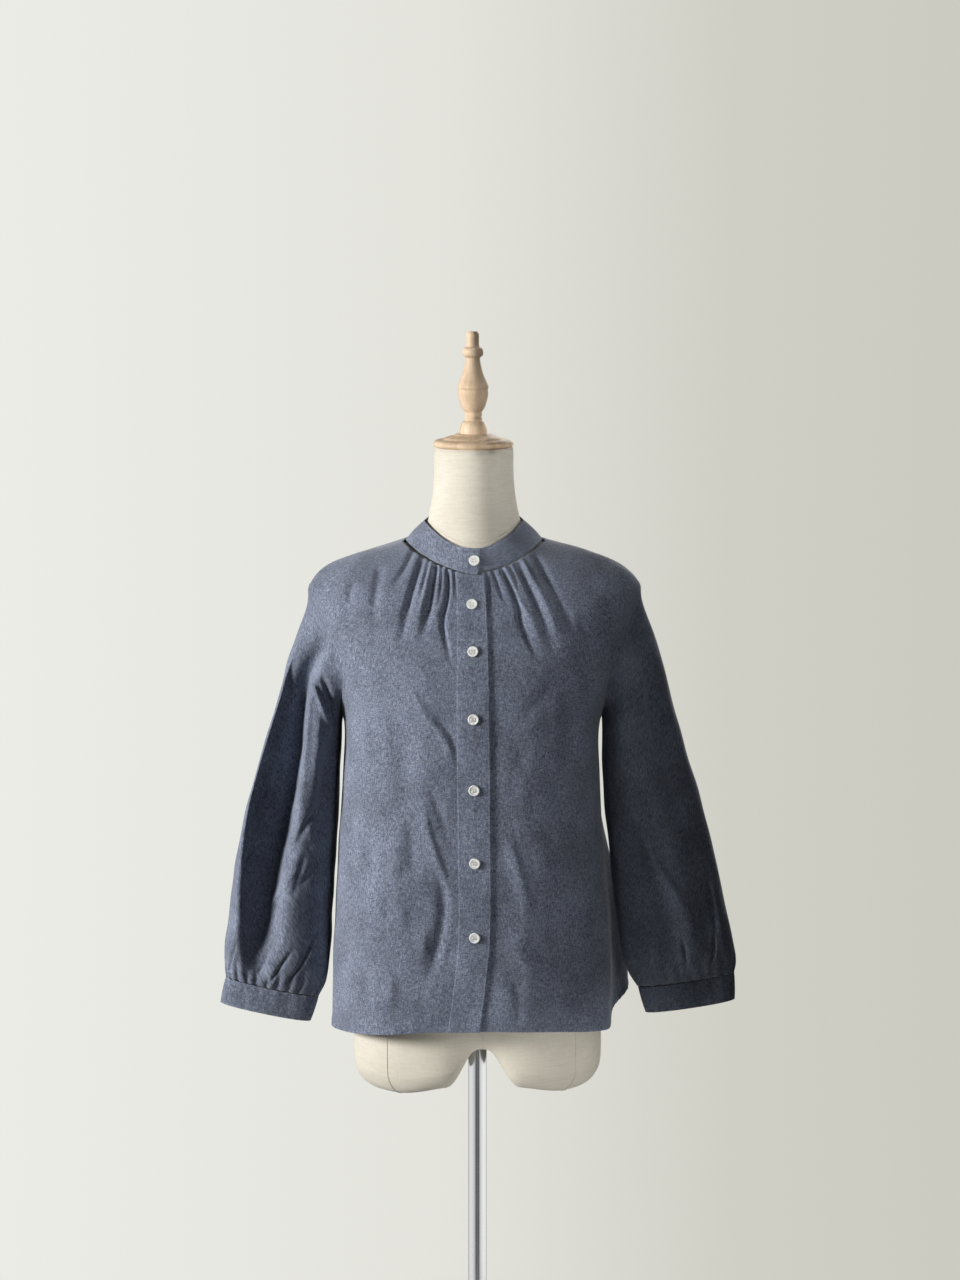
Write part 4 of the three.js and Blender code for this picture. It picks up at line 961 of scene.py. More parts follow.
LEFT_SLEEVE = SleeveShape(
    side=Side.LEFT,
    outer=(224, 243, 262, 283, 307, 327, 341, 352, 356, 353),
    inner=(172, 172, 172, 173, 177, 184, 191, 199, 208, 220),
    pleat_keys=(0, 0.08, 0.22, 0.4, 0.6, 0.8, 1),
    pleats={
        "turn": (62, 62, 58, 56, 56, 58, 60),
        "before": (12, 14, 18, 20, 20, 14, 12),
        "after": (10, 10, 12, 16, 20, 14, 12),
        "back": (0, 7, 15, 13, 6, 8, 0),
        "crest": (30, 30, 26, 24, 24, 28, 30),
        "ridge": (0, 2, 5, 4, 2, 2, 0),
    },
    folds=((118, 6, 16, 0.1, 0.6, -6), (258, -8, 18, 0.15, 0.9, 9), (212, 0, 19, 0.3, 0.99, -4.5)),
    creases=(
        Crease(((199, 1246), (214, 1211), (221, 1170), (220, 1084)), -3.4, 7, 4),
        Crease(((228, 1118), (210, 1090), (196, 1060)), 2.0, 4, 4),
        Crease(((208, 1032), (238, 946), (272, 890), (292, 855)), -4.2, 9, 7),
        Crease(((284, 891), (295, 863), (297, 827)), 3.6, 2, 3),
        Crease(((232, 813), (258, 788)), 2.6, 3, 3),
        Crease(((208, 938), (228, 918)), 2.6, 5, 5),
        Crease(((232, 1198), (238, 1136), (250, 1050)), 4.4, 7, 7),
        Crease(((308, 950), (322, 865), (331, 815)), 3.2, 5, 5),
        Crease(((218, 889), (246, 838), (258, 800)), 3.2, 5, 4),
        Crease(((262, 1090), (274, 1030), (292, 970)), -2.6, 5, 6),
        at_cuff(((243, 850), (250, 815), (254, 784)), 3.6, 3, 2.4),
        at_cuff(((276, 840), (282, 810), (283, 786)), 3.6, 2.4, 3),
        at_cuff(((322, 842), (322, 812), (316, 790)), 3.2, 2.4, 2.4),
        Crease(((210, 1226), (226, 1156), (228, 1084)), 5, 9, 7, face=Face.BACK),
        Crease(((246, 1172), (256, 1104), (254, 1036)), -3.4, 7, 6, face=Face.BACK),
        Crease(((264, 1052), (240, 998), (206, 960)), 4.2, 6, 5, face=Face.BACK),
        Crease(((296, 1000), (290, 936), (302, 876)), 4.0, 7, 6, face=Face.BACK),
        Crease(((226, 922), (250, 882), (260, 842)), -3.2, 4, 5, face=Face.BACK),
        at_cuff(((306, 852), (312, 818), (318, 786)), 3.6, 3, 3, Face.BACK),
        at_cuff(((266, 842), (274, 810), (280, 780)), 3.8, 3, 3, Face.BACK),
    ),
    top={"outer": 353, "z_outer": 778, "inner": 221, "z_inner": 759},
    bottom={"outer": 354, "z_outer": 742, "inner": 231, "z_inner": 724},
    seed=6,
)

# Small gathers round a cuff: degrees round it, reach up the sleeve as a share, half width, depth.
CUFF_GATHERS = (
    (4, 0.05, 2.6, 2.2),
    (19, 0.09, 3.0, 3.0),
    (33, 0.045, 2.2, 2.0),
    (46, 0.12, 3.2, 3.2),
    (60, 0.06, 2.4, 2.6),
    (71, 0.10, 2.8, 3.0),
    (84, 0.05, 2.2, 2.4),
    (96, 0.13, 3.2, 3.4),
    (110, 0.07, 2.6, 2.6),
    (123, 0.10, 3.0, 3.0),
    (139, 0.05, 2.4, 2.2),
    (153, 0.08, 3.0, 2.6),
    (171, 0.06, 3.0, 2.4),
    (190, 0.09, 3.2, 2.8),
    (207, 0.05, 2.6, 2.2),
    (222, 0.11, 3.0, 3.2),
    (236, 0.06, 2.4, 2.6),
    (249, 0.12, 3.0, 3.2),
    (262, 0.05, 2.2, 2.4),
    (274, 0.09, 2.8, 3.0),
    (288, 0.13, 3.2, 3.4),
    (302, 0.06, 2.4, 2.4),
    (318, 0.09, 3.0, 2.8),
    (338, 0.05, 2.8, 2.2),
)


@dataclass
class Sleeve:
    """A long full sleeve, set in at the dropped armhole and gathered into its cuff."""

    shape: SleeveShape
    armhole: Armhole
    wall: float = 1.0
    columns: int = 176
    row_count: int = 168
    pucker_pitch: int = 38
    pucker_depth: float = 0.35

    def pleat(self, at: Array) -> dict:
        """Return the long pleat's sizes at a level."""
        return {name: through(self.shape.pleat_keys, row, at) for name, row in self.shape.pleats.items()}

    def pleat_depth(self, at: Array, turn: Array) -> Array:
        """Return how far the long pleat pushes the cloth back."""
        pleat = self.pleat(at)
        turned_by = (np.degrees(turn) + 540) % 360 - 180
        apart = turned_by - pleat["turn"]
        half = np.where(apart < 0, pleat["before"], pleat["after"])
        return pleat["back"] * bell(apart, half) - pleat["ridge"] * bell(turned_by - pleat["crest"], CREST_HALF)

    def follow_pleat(self, at: Array, turn: Array) -> Array:
        """Return turns shifted so that the same points follow the pleat's line."""
        turned_by = np.degrees(turn)
        share = np.maximum(1 - np.abs(turned_by - PLEAT_LINE) / PLEAT_REACH, 0.0)
        share = share * smooth(0.0, 0.06, at) * (1 - smooth(0.8, 0.92, at))
        return np.radians(turned_by + (self.pleat(at)["turn"] - PLEAT_LINE) * share)

    def plain(self, at: Array, turn: Array) -> Array:
        """Return the sleeve before its folds: turn 0 is outside, a quarter front, a half inside."""
        at = np.clip(at, 0.0, 1.0)
        sign = self.shape.side.value
        loop = self.armhole.at(turn)
        outer = through(SLEEVE_KEYS, self.shape.outer, at)
        inner = through(SLEEVE_KEYS, self.shape.inner, at)
        front = through(SLEEVE_KEYS, SLEEVE_FRONT, at)
        back = through(SLEEVE_KEYS, SLEEVE_BACK, at)
        c, s = np.cos(turn), np.sin(turn)
        swell = swell_of(s, c, SLEEVE_SQUARE)
        x = sign * ((outer + inner) / 2 + (outer - inner) / 2 * c * swell)
        y = (front + back) / 2 - (back - front) / 2 * s * swell
        inside = (1 - c) / 2
        fall = at ** (1 + INNER_SLACK * inside**2)
        z = mix(loop[..., 2], mix(self.shape.top["z_outer"], self.shape.top["z_inner"], inside), fall)
        leave = 1 - (1 - np.clip(at / SLEEVE_LEAVE_OVER, 0.0, 1.0)) ** SLEEVE_LEAVE_POWER
        depth = self.pleat_depth(at, turn)
        return np.stack([mix(loop[..., 0], x, leave), mix(loop[..., 1], y, leave) + depth, z], axis=-1)

    def folds(self, at: Array, turn: Array, base: Array) -> Array:
        """Return the lift of folds, creases and gathers."""
        turned_by = np.degrees(turn)
        lift = np.zeros_like(at)
        for place, lean, half, start, end, depth in self.shape.folds:
            along = np.clip((at - start) / (end - start), 0.0, 1.0)
            apart = (turned_by - place - lean * (along - 0.5) + 540) % 360 - 180
            lift -= depth * bell(apart, half) * np.sin(math.pi * along) ** 0.7
        for place, reach, half, depth in CUFF_GATHERS:
            apart = (turned_by - place + 540) % 360 - 180
            grown = smooth(1 - reach, 1 - 0.1 * reach, at)
            opened = half * mix(2.6, 1.0, grown)
            lift -= depth * grown * (1 - 0.4 * smooth(0.985, 1.0, at)) * bell(apart, opened)
        in_front = np.sin(turn) > 0
        lift -= creased(self.shape.creases, base, in_front) * smooth(0.0, 0.05, at)
        head = self.pucker_depth * (1 - smooth(0.0, 0.035, at))
        lift += head * np.sin(self.pucker_pitch * turn + 1.3 * np.sin(5 * turn))
        rumple = Rumple(seed=self.shape.seed, height=0.7, shortest=38.0)
        return lift + rumple.at(base) * smooth(0.0, 0.08, at) * (1 - smooth(0.9, 1.0, at))

    def cloth(self, at: Array, turn: Array, lift: Array = 0.0) -> Array:
        """Return a point of the folded sleeve."""
        at, turn = np.broadcast_arrays(np.asarray(at, float), np.asarray(turn, float))
        base = self.plain(at, turn)
        out = outward(self.plain, np.clip(at, 0.004, 0.996), turn) * self.shape.side.value
        return base + out * (self.folds(at, turn, base) + lift)[..., None]

    def build(self, chambray: bpy.types.Material) -> None:
        """Build and dress the sleeve."""
        name = self.shape.side.name.lower()

        def place(u: Array, v: Array, lift: float) -> Array:
            """Return the sleeve's points."""
            at = spaced(((0, 0), (0.06, 0.03), (0.82, 0.85), (1, 0.999)), v)
            around = spaced(((0, 0), (0.12, 0.1), (0.42, 0.32), (0.66, 0.56), (1, 1)), u) * FULL_TURN
            return self.cloth(at, self.follow_pleat(at, around), lift)

        piece = lay_cloth(f"shirt_sleeve_{name}", self.columns, self.row_count, place, self.wall, closed=True)
        dress(piece, chambray, "chambray", f"sleeve_{name}")


@dataclass
class Cuff:
    """A narrow band that hangs from the gathered sleeve."""

    shape: SleeveShape
    wall: float = 1.7
    swollen: float = 0.6
    columns: int = 168
    row_count: int = 18

    def face(self, down: Array, turn: Array, lift: Array = 0.0) -> Array:
        """Return a point of the cuff, from its seam (0) to its edge (1)."""
        down, turn, lift = np.broadcast_arrays(*(np.asarray(part, float) for part in (down, turn, lift)))
        end = {name: mix(self.shape.top[name], self.shape.bottom[name], down) for name in self.shape.top}
        c, s = np.cos(turn), np.sin(turn)
        swell = swell_of(s, c, SLEEVE_SQUARE)
        lift = lift + self.swollen * np.sin(math.pi * down)
        across = (end["outer"] - end["inner"]) / 2 + lift
        x = self.shape.side.value * ((end["outer"] + end["inner"]) / 2 + across * c * swell)
        z = mix(end["z_outer"], end["z_inner"], (1 - c * swell) / 2) - SEAM - 0.3
        return np.stack([x, -(CUFF_DEPTH + lift) * s * swell, z], axis=-1)

    def relief(self, down: Array, turn: Array) -> Array:
        """Return the cuff's stitched grooves, puckers and soft upright creases."""
        from_edge = np.minimum(down, 1 - down) * 35.0
        run = turn * 52.0
        groove = -0.35 * bell(from_edge - 2.2, 0.8)
        pucker = 0.28 * bell(down * 35.0, 7.0) * np.sin(run / 2.2 + 2.0 * np.sin(run / 15.0))
        soft = -0.9 * np.sin(math.pi * down) * (
            bell(np.degrees(turn) - 57, 7) + bell(np.degrees(turn) - 112, 8) + bell(np.degrees(turn) - 236, 8)
        )
        return groove + pucker + soft

    def build(self, chambray: bpy.types.Material) -> None:
        """Build and dress the cuff."""
        name = self.shape.side.name.lower()

        def place(u: Array, v: Array, lift: float) -> Array:
            """Return the cuff's points."""
            down = spaced(((0, 1), (0.25, 0.89), (0.75, 0.11), (1, 0)), v)
            turn = u * FULL_TURN
            return self.face(down, turn, self.relief(down, turn) + lift)

        piece = lay_cloth(f"shirt_cuff_{name}", self.columns, self.row_count, place, self.wall, closed=True)
        dress(piece, chambray, "chambray", f"cuff_{name}")


# Sewing


@dataclass
class Sewing:
    """Rows of small stitches and the buttonholes, each a copy of one tiny rounded thread."""

    pitch: float = 2.7
    length: float = 2.0
    radius: float = 0.2
    around: int = 5
    rings: int = 4

    def __post_init__(self) -> None:
        """Start an empty mesh, and spin the one thread that is repeated in it."""
        self.bm = bmesh.new()
        bm = bmesh.new()
        bmesh.ops.create_uvsphere(bm, u_segments=self.around, v_segments=self.rings, radius=1.0)
        self.thread = bpy.data.meshes.new("one_thread")
        bm.to_mesh(self.thread)
        bm.free()

    def stitch(self, middle: Array, direction: Array, length: float, radius: float) -> None:
        """Add one stitch that lies along a direction."""
        along = Vector(leaned_direction(direction))
        turn = along.to_track_quat("Z", "Y").to_matrix().to_4x4()
        size = Matrix.Diagonal((radius * MM, radius * MM, length * MM / 2, 1.0))
        place = Matrix.Translation(Vector(leaned(middle)))
        laid = self.thread.copy()
        laid.transform(place @ turn @ size)
        self.bm.from_mesh(laid)
        bpy.data.meshes.remove(laid)

    def row(self, line: Array) -> None:
        """Sew a row of stitches along a line of worn points."""
        steps = np.linalg.norm(np.diff(line, axis=0), axis=1)
        reach = np.concatenate([[0.0], np.cumsum(steps)])
        middles = np.arange(self.pitch / 2, reach[-1], self.pitch)
        points = np.stack([np.interp(middles, reach, line[:, i]) for i in range(3)], axis=-1)
        ahead = np.stack([np.interp(middles + 0.6, reach, line[:, i]) for i in range(3)], axis=-1)
        behind_it = np.stack([np.interp(middles - 0.6, reach, line[:, i]) for i in range(3)], axis=-1)
        for middle, direction in zip(points, ahead - behind_it):
            self.stitch(middle, unit(direction), self.length, self.radius)

    def buttonhole(self, centre: Array, along: Array, across: Array, length: float = 17.0, width: float = 3.0) -> None:
        """Sew the close ring of thread round a buttonhole.

        Args:
            centre: The middle of the hole, on the cloth's face.
            along: Direction of the slot.
            across: Direction over the slot.
            length: Length of the ring.
            width: Width of the ring.
        """
        half = (length - width) / 2
        for offset in np.arange(-half, half + 0.1, 0.62):
            for sign in (-1.0, 1.0):
                middle = centre + along * offset + across * sign * width / 3
                self.stitch(middle, across, width / 2.2, 0.3)
        for end in (-1.0, 1.0):
            for turn in np.linspace(-1.2, 1.2, 6):
                direction = along * end * math.cos(turn) + across * math.sin(turn)
                middle = centre + along * end * half + direction * width / 3
                self.stitch(middle, direction, width / 2.2, 0.3)

    def build(self, name: str, thread: bpy.types.Material) -> None:
        """Finish the stitches as one piece."""
        mesh = bpy.data.meshes.new(name)
        self.bm.to_mesh(mesh)
        self.bm.free()
        bpy.data.meshes.remove(self.thread)
        mesh.shade_smooth()
        dress(new_object(name, mesh), thread, "chambray")


@dataclass
class Seams:
    """Where the shirt is sewn: placket, collar, hem, armholes and cuffs."""

    garment: Garment
    placket: Placket
    collar: BandCollar
    panels: BodyPanels
    cuffs: Sequence[Cuff]
    inset: float = 2.0
    sunk: float = 0.05

    def body_line(self, at: Array, angle: Array, upper: bool) -> Array:
        """Return a line on the trimmed body cloth."""
        at, angle = np.broadcast_arrays(np.asarray(at, float), np.asarray(angle, float))
        trim = self.panels.trim(self.garment.point(at, angle), at, angle)
        lay = self.garment.upper_cloth if upper else self.garment.cloth
        return lay(at, angle, trim + self.sunk)

    def sew_placket(self, sewing: Sewing) -> None:
        """Sew both edges of the placket."""
        at = np.linspace(0.004, self.placket.top - 0.004, 500)
        left, right = self.placket.edges(at)
        for x in (left + self.inset, right - self.inset):
            sewing.row(self.placket.face(at, x, self.sunk - 0.3))
        level = np.array(self.garment.level_at_height(self.placket.join_z + 2.2))
        left, right = self.placket.edges(level)
        sewing.row(self.placket.face(level, np.linspace(left + self.inset, right - self.inset, 60), self.sunk + 0.2))

    def sew_collar(self, sewing: Sewing) -> None:
        """Sew round the collar."""
        for up in (0.07, 0.93):
            upper, lower = self.collar.ends(np.array(up))
            angle = np.linspace(float(upper) - 0.03, float(lower) + 0.03, 500)
            sewing.row(self.collar.face(np.full(500, up), angle, self.sunk - 0.28))
        up = np.linspace(0.07, 0.93, 40)
        upper, _ = self.collar.ends(up)
        sewing.row(self.collar.face(up, upper - 0.03, self.sunk))

    def sew_hem(self, sewing: Sewing) -> None:
        """Sew the hem's fold."""
        level = (self.panels.hem_width - 1.2) / 680.0
        at = np.array(level)
        edge = float(self.garment.angle_across(np.array(level), self.garment.placket_edge("left", np.array(level))))
        sewing.row(self.body_line(at, np.linspace(edge - 0.01, -RIGHT_ANGLE + 0.005, 500), True))
        under = float(self.garment.angle_across(np.array(level), self.garment.placket_edge("right", np.array(level))))
        sewing.row(self.body_line(at, np.linspace(under + 0.01, RIGHT_ANGLE - 0.005, 500), False))
        sewing.row(self.body_line(at, np.linspace(RIGHT_ANGLE + 0.005, 3 * RIGHT_ANGLE - 0.005, 700), False))

    def sew_armholes(self, sewing: Sewing) -> None:
        """Sew the felled seams' double rows."""
        turn = np.linspace(0.0, FULL_TURN, 500)
        for side in Side:
            for away in (1.6, self.panels.felled_width - 1.0):
                at, angle = self.garment.armhole_place(side, turn, away)
                sewing.row(self.body_line(at, angle, False))

    def sew_cuffs(self, sewing: Sewing) -> None:
        """Sew both edges of the cuffs."""
        turn = np.linspace(0.0, FULL_TURN, 400)
        for cuff in self.cuffs:
            for down in (self.inset / 35.0, 1 - self.inset / 35.0):
                sewing.row(cuff.face(np.full(400, down), turn, self.sunk - 0.3))

    def build(self, thread: bpy.types.Material) -> None:
        """Sew everything."""
        for name, parts in (
            ("stitches_placket", (self.sew_placket,)),
            ("stitches_collar", (self.sew_collar,)),
            ("stitches_body", (self.sew_hem, self.sew_armholes)),
            ("stitches_cuffs", (self.sew_cuffs,)),
        ):
            sewing = Sewing()
            for part in parts:
                part(sewing)
            sewing.build(name, thread)


@dataclass
class Buttons:
    """Seven four-hole buttons with their thread and buttonholes."""

    garment: Garment
    placket: Placket
    collar: BandCollar
    heights: tuple = (1348.5, 1293.6, 1232.4, 1147, 1054.5, 958, 858.8)
    radius: float = 7.1
    thick: float = 2.5
    hole_radius: float = 0.85
    hole_at: float = 1.75
    stand_off: float = 0.5

    def place(self, index: int) -> tuple:
        """Return a button's foot on the cloth and the direction it faces."""
        z = self.heights[index]
        if index == 0:
            up = np.array((z - NECK_Z) / (self.collar.top.z_front - NECK_Z))
            foot = self.collar.point(up, 0.0, self.collar.lap)
            above = self.collar.point(up, 0.0, self.collar.lap + 1.0)
            return foot, unit(above - foot)
        at = np.array(self.garment.level_at_height(z))
        left = self.garment.placket_edge("left", at)
        right = self.garment.placket_edge("right", at)
        foot = self.placket.face(at, (left + right) / 2)
        above = self.placket.face(at, (left + right) / 2, 1.0)
        return foot, unit(above - foot)

    def disc(self) -> bpy.types.Mesh:
        """Return a button's mesh: a raised rim round a dished middle with four holes."""
        profile = (
            (5.9, 0.0),
            (6.75, 0.25),
            (7.1, 0.9),
            (7.05, 1.7),
            (6.7, 2.3),
            (6.1, 2.5),
            (5.5, 2.42),
            (4.9, 2.05),
            (4.2, 1.85),
            (3.4, 1.8),
        )
        blank = new_object("button_blank", turned("button_blank", profile, 40))
        holes = bmesh.new()
        for x in (-self.hole_at, self.hole_at):
            for y in (-self.hole_at, self.hole_at):
                bmesh.ops.create_cone(
                    holes,
                    cap_ends=True,
                    segments=14,
                    radius1=self.hole_radius * MM,
                    radius2=self.hole_radius * MM,
                    depth=8 * MM,
                    matrix=Matrix.Translation((x * MM, y * MM, 0)),
                )
        drill_mesh = bpy.data.meshes.new("button_drill")
        holes.to_mesh(drill_mesh)
        holes.free()
        drill = new_object("button_drill", drill_mesh)
        cut = blank.modifiers.new("holes", "BOOLEAN")
        cut.operation = "DIFFERENCE"
        cut.object = drill
        cut.solver = "EXACT"
        view = bpy.context.evaluated_depsgraph_get()
        mesh = bpy.data.meshes.new_from_object(blank.evaluated_get(view))
        for helper in (blank, drill):
            bpy.data.objects.remove(helper)
        mesh.shade_smooth()
        mesh.set_sharp_from_angle(angle=math.radians(38))
        return mesh

    def build(self, shell: bpy.types.Material, thread: bpy.types.Material, cotton: bpy.types.Material) -> None:
        """Build and dress the buttons, their threads and their buttonholes."""
        disc = self.disc()
        ties = Sewing()
        holes = Sewing()
        level = np.array([1.0, 0.0, 0.0])
        for index in range(len(self.heights)):
            foot, out = self.place(index)
            mesh = disc.copy()
            mesh.transform(worn_matrix(foot + out * self.stand_off, out, level))
            name = f"button_{index + 1}"
            dress(new_object(f"shirt_{name}", mesh), shell, "button", name)
            across = unit(level - out * float(level @ out))
            upright = unit(np.cross(out, across))
            for offset in (-self.hole_at, self.hole_at):
                for lift in (0.0, 0.18):
                    middle = foot + out * (self.stand_off + 2.0 + lift) + across * (offset + lift)
                    ties.stitch(middle, upright, 2 * self.hole_at + 1.6, 0.42)
            for x in (-0.7, 0.7):
                for y in (-0.7, 0.7):
                    ties.stitch(foot + across * x + upright * y + out * 0.6, out, 2.4, 0.6)
            slot = across if index == 0 else upright
            over = upright if index == 0 else across
            shift = 5.0 if index == 0 else 3.0
            holes.buttonhole(foot - (slot * shift if index == 0 else -slot * shift) + out * 0.1, slot, over)
        ties.build("button_threads", cotton)
        holes.build("buttonholes", thread)


# The form and its stand


@dataclass
class DressForm:
    """The limbless padded form: rings from the neck to the two rounded lobes of its hips."""

    garment: Garment
    cloth: float = 1.6
    columns: int = 144
    parts: int = 4
    seat_half: float = 190.0
    edge_z: float = 668.0
    floor_z: float = 632.0
    arch_z: float = 699.0
    middle_x: float = 7.0
    roundness: float = 27.0
    socket_r: float = 13.15
    socket_top: float = 736.0
    groove_half: float = 0.2
    groove_depth: float = 14.0
    groove_from: float = 790.0
    cap_y: float = -12.0
    cap_z: float = 1498.5
    cap_tilt: float = 0.09
    cap_gap: float = 0.35
    piping: float = 0.8
    neck_rings: tuple = (
        (1493, 1498, 1503, 53.5, 66, 42),
        (1450, 1455, 1459, 54, 65, 44),
        (1413, 1427, 1437, 57, 65, 48),
        (1388, 1411, 1424, 60, 66, 53),
        (1366, 1397, 1413, 63, 68, 57),
        (1350, 1385, 1403, 72, 70, 59),
        (1338, 1372, 1394, 83, 72.5, 63),
    )
    seat_rings: tuple = ((0.965, 3.4, 9), (0.935, 1.8, 13), (0.905, 1.6, 17))
    torso_rings: tuple = (
        (1268, 1311, 1284, 194, 90, 94, 2.2),
        (1240, 1262, 1250, 180, 106, 101, 2.3),
        (1200, 1205, 1205, 163, 123, 104, 2.4),
        (1150, 1150, 1150, 152, 131, 103, 2.5),
        (1085, 1085, 1085, 138, 112, 97, 2.4),
        (1005, 1005, 1005, 124, 93, 88, 2.3),
        (920, 920, 920, 143, 98, 100, 2.3),
        (835, 835, 835, 162, 106, 115, 2.4),
        (765, 765, 765, 170, 110, 121, 2.4),
        (712, 712, 712, 169, 109, 119, 2.4),
    )

    def arch(self, x: Array) -> Array:
        """Return how high the arch between the lobes is, as a share."""
        away = np.abs(x - self.middle_x)
        return 1 - 0.84 * smooth(3, 48, away) - 0.16 * smooth(38, 112, away)

    def edge_height(self, x: Array) -> Array:
        """Return the height of the torso's lower edge."""
        return mix(self.edge_z, self.arch_z, self.arch(x))

    def ring(self, row: tuple, angle: Array) -> Array:
        """Return one ring of the form, with the crease between the lobes."""
        z_front, z_side, z_back, half, front, back = row[:6]
        square = row[6] if len(row) > 6 else 2.0
        point = Oval(z_front, z_side, z_back, half, half, front, back, square, 2.0).point(angle)
        low = 1 - smooth(self.edge_z, self.groove_from, point[..., 2])
        in_front = np.where(np.cos(angle) > 0, bell(np.sin(angle), self.groove_half), 0.0)
        point[..., 1] += self.groove_depth * low * in_front
        return point

    def seat(self, row: tuple, angle: Array) -> Array:
        """Return a ring on which the shirt rests."""
        at, air, stand_off = row
        level = np.full_like(angle, at)
        inset = self.cloth + air + stand_off * np.cos(angle) ** 2
        point = self.garment.point(level, angle) - self.garment.outward(level, angle) * inset[..., None]
        point[..., 0] = np.clip(point[..., 0], -self.seat_half, self.seat_half)
        return point

    def rings(self, angle: Array) -> Array:
        """Return all rings of the form, from the neck to the socket's mouth."""
        neck_top = self.ring(self.neck_rings[0], angle)
        plane = self.cap_z - self.cap_gap + math.tan(self.cap_tilt) * (neck_top[..., 1] - self.cap_y)
        neck_top[..., 2] = plane
        rows = [neck_top]
        rows += [self.ring(row, angle) for row in self.neck_rings[1:]]
        rows += [self.seat(row, angle) for row in self.seat_rings]
        rows += [self.ring(row, angle) for row in self.torso_rings]
        edge = self.ring((self.edge_z,) * 3 + self.torso_rings[-1][3:], angle)
        edge[..., 2] = self.edge_height(edge[..., 0])
        rows.append(edge)
        reach = np.hypot(edge[..., 0], edge[..., 1])
        for share in (0.985, 0.94, 0.87, 0.76, 0.62, 0.46, 0.33, 0.23, 0.15):
            point = edge * share
            rounded = np.clip(reach * (share - 1) / self.roundness + 1, 0.0, 1.0)
            lobe = mix(self.floor_z, self.arch_z, self.arch(point[..., 0]))
            high = np.maximum(self.edge_height(edge[..., 0]), lobe)
            point[..., 2] = mix(lobe, high, 1 - np.sqrt(np.maximum(1 - rounded**2, 0.0)))
            rows.append(point)
        return np.stack(rows)

    def surface(self) -> Array:
        """Return the fine rings of the whole form, closed into the pole's socket."""
        angle = np.linspace(0.0, FULL_TURN, self.columns + 1)
        rows = self.rings(angle)
        keys = np.arange(len(rows))
        fine = np.linspace(0, len(rows) - 1, self.parts * (len(rows) - 1) + 1)
        smoothed = through(keys, rows, fine)
        mouth = [
            np.stack([self.socket_r * np.sin(angle), -self.socket_r * np.cos(angle), np.full_like(angle, z)], axis=-1)
            for z in (self.arch_z, self.socket_top)
        ]
        return np.concatenate([smoothed, np.stack(mouth)])

    def build(self, linen: bpy.types.Material) -> None:
        """Build and dress the form and its piped seams."""
        points = self.surface()
        rows = len(points) - 1

        def place(u: Array, v: Array, lift: float) -> Array:
            """Return the form's points, from the socket up to the neck."""
            row = rows - np.rint(v * rows).astype(int)
            column = np.rint(u * self.columns).astype(int)
            out = points[row, column] * np.array([1.0, 1.0, 0.0])
            return points[row, column] + unit(out + 1e-9) * lift

        piece = lay_cloth("form_linen", self.columns, rows, place, 1.0, closed=True)
        piece.modifiers.clear()
        bm = bmesh.new()
        bm.from_mesh(piece.data)
        rims = [edge for edge in bm.edges if edge.is_boundary]
        bmesh.ops.holes_fill(bm, edges=rims, sides=0)
        bm.to_mesh(piece.data)
        bm.free()
        piece.data.shade_smooth()
        dress(piece, linen, "linen", "form_body")
        self.pipe(points, linen)

    def pipe(self, points: Array, linen: bpy.types.Material) -> None:
        """Lay the piping over the form's upright seams and round its neck."""
        low_row = self.parts * 20
        curve = bpy.data.curves.new("form_piping", "CURVE")
        curve.dimensions = "3D"
        curve.bevel_depth = self.piping * MM
        curve.bevel_resolution = 2
        curve.use_fill_caps = True
        for degrees in (3, 47, 90, 137, 180, 223, 270, 318):
            column = round(degrees / 360 * self.columns)
            line = points[self.parts * 4 : low_row + 14, column]
            self.add_spline(curve, leaned(line), closed=False)
        neck = through(np.arange(len(points)), points, np.full(self.columns, self.parts * 3.75))
        self.add_spline(curve, leaned(neck[0][:-1]), closed=True)
        tube = new_object("form_piping_curve", curve)
        view = bpy.context.evaluated_depsgraph_get()
        mesh = bpy.data.meshes.new_from_object(tube.evaluated_get(view))
        bpy.data.objects.remove(tube)
        mesh.name = "form_piping"
        dress(new_object("form_piping", mesh), linen, "linen")

    @staticmethod
    def add_spline(curve: bpy.types.Curve, line: Array, closed: bool) -> None:
        """Add one line of points to a curve."""
        spline = curve.splines.new("POLY")
        spline.points.add(len(line) - 1)
        spline.points.foreach_set("co", np.concatenate([line, np.ones((len(line), 1))], axis=1).ravel())
        spline.use_cyclic_u = closed


@dataclass
class NeckCap:
    """The turned wood on the form's neck: a round plate with a finial."""

    y: float = -12.0
    z: float = 1498.5
    tilt: float = 0.09
    plate: tuple = (
        (50.5, 0),
        (53, 1.8),
        (53.8, 4.6),
        (52.6, 7.6),
        (49, 9.6),
        (41, 10.4),
        (38.6, 12.2),
        (33, 14.2),
        (27, 15.4),
        (24, 17.4),
    )
    finial: tuple = (
        (18.4, 17.8),
        (18.6, 22),
        (17.2, 28),
        (14.6, 33.4),
        (11.4, 35),
        (12.2, 37.4),
        (11, 40),
        (11.9, 43),
        (11.4, 46),
        (14.6, 50.6),
        (18, 60),
        (20.4, 72),
        (19.6, 76.6),
        (20.8, 79.4),
        (18.2, 87.6),
        (13.8, 98),
        (10.6, 110),
        (9.8, 118.6),
        (13, 121),
        (14.2, 126),
        (12.8, 131),
        (8.9, 133.4),
        (8.4, 149.6),
        (6.6, 153.2),
    )

    def build(self, beech: bpy.types.Material) -> None:
        """Turn and dress the plate and the finial."""
        axis = np.array([0.0, -math.sin(self.tilt), math.cos(self.tilt)])
        place = worn_matrix(np.array([0.0, self.y, self.z]), axis, np.array([1.0, 0.0, 0.0]))
        for name, profile, node in (("cap_plate", self.plate, "neck_plate"), ("cap_finial", self.finial, "finial")):
            mesh = turned(name, eased_profile(profile, 4), 96)
            mesh.transform(place)
            dress(new_object(name, mesh), beech, "beech", node)


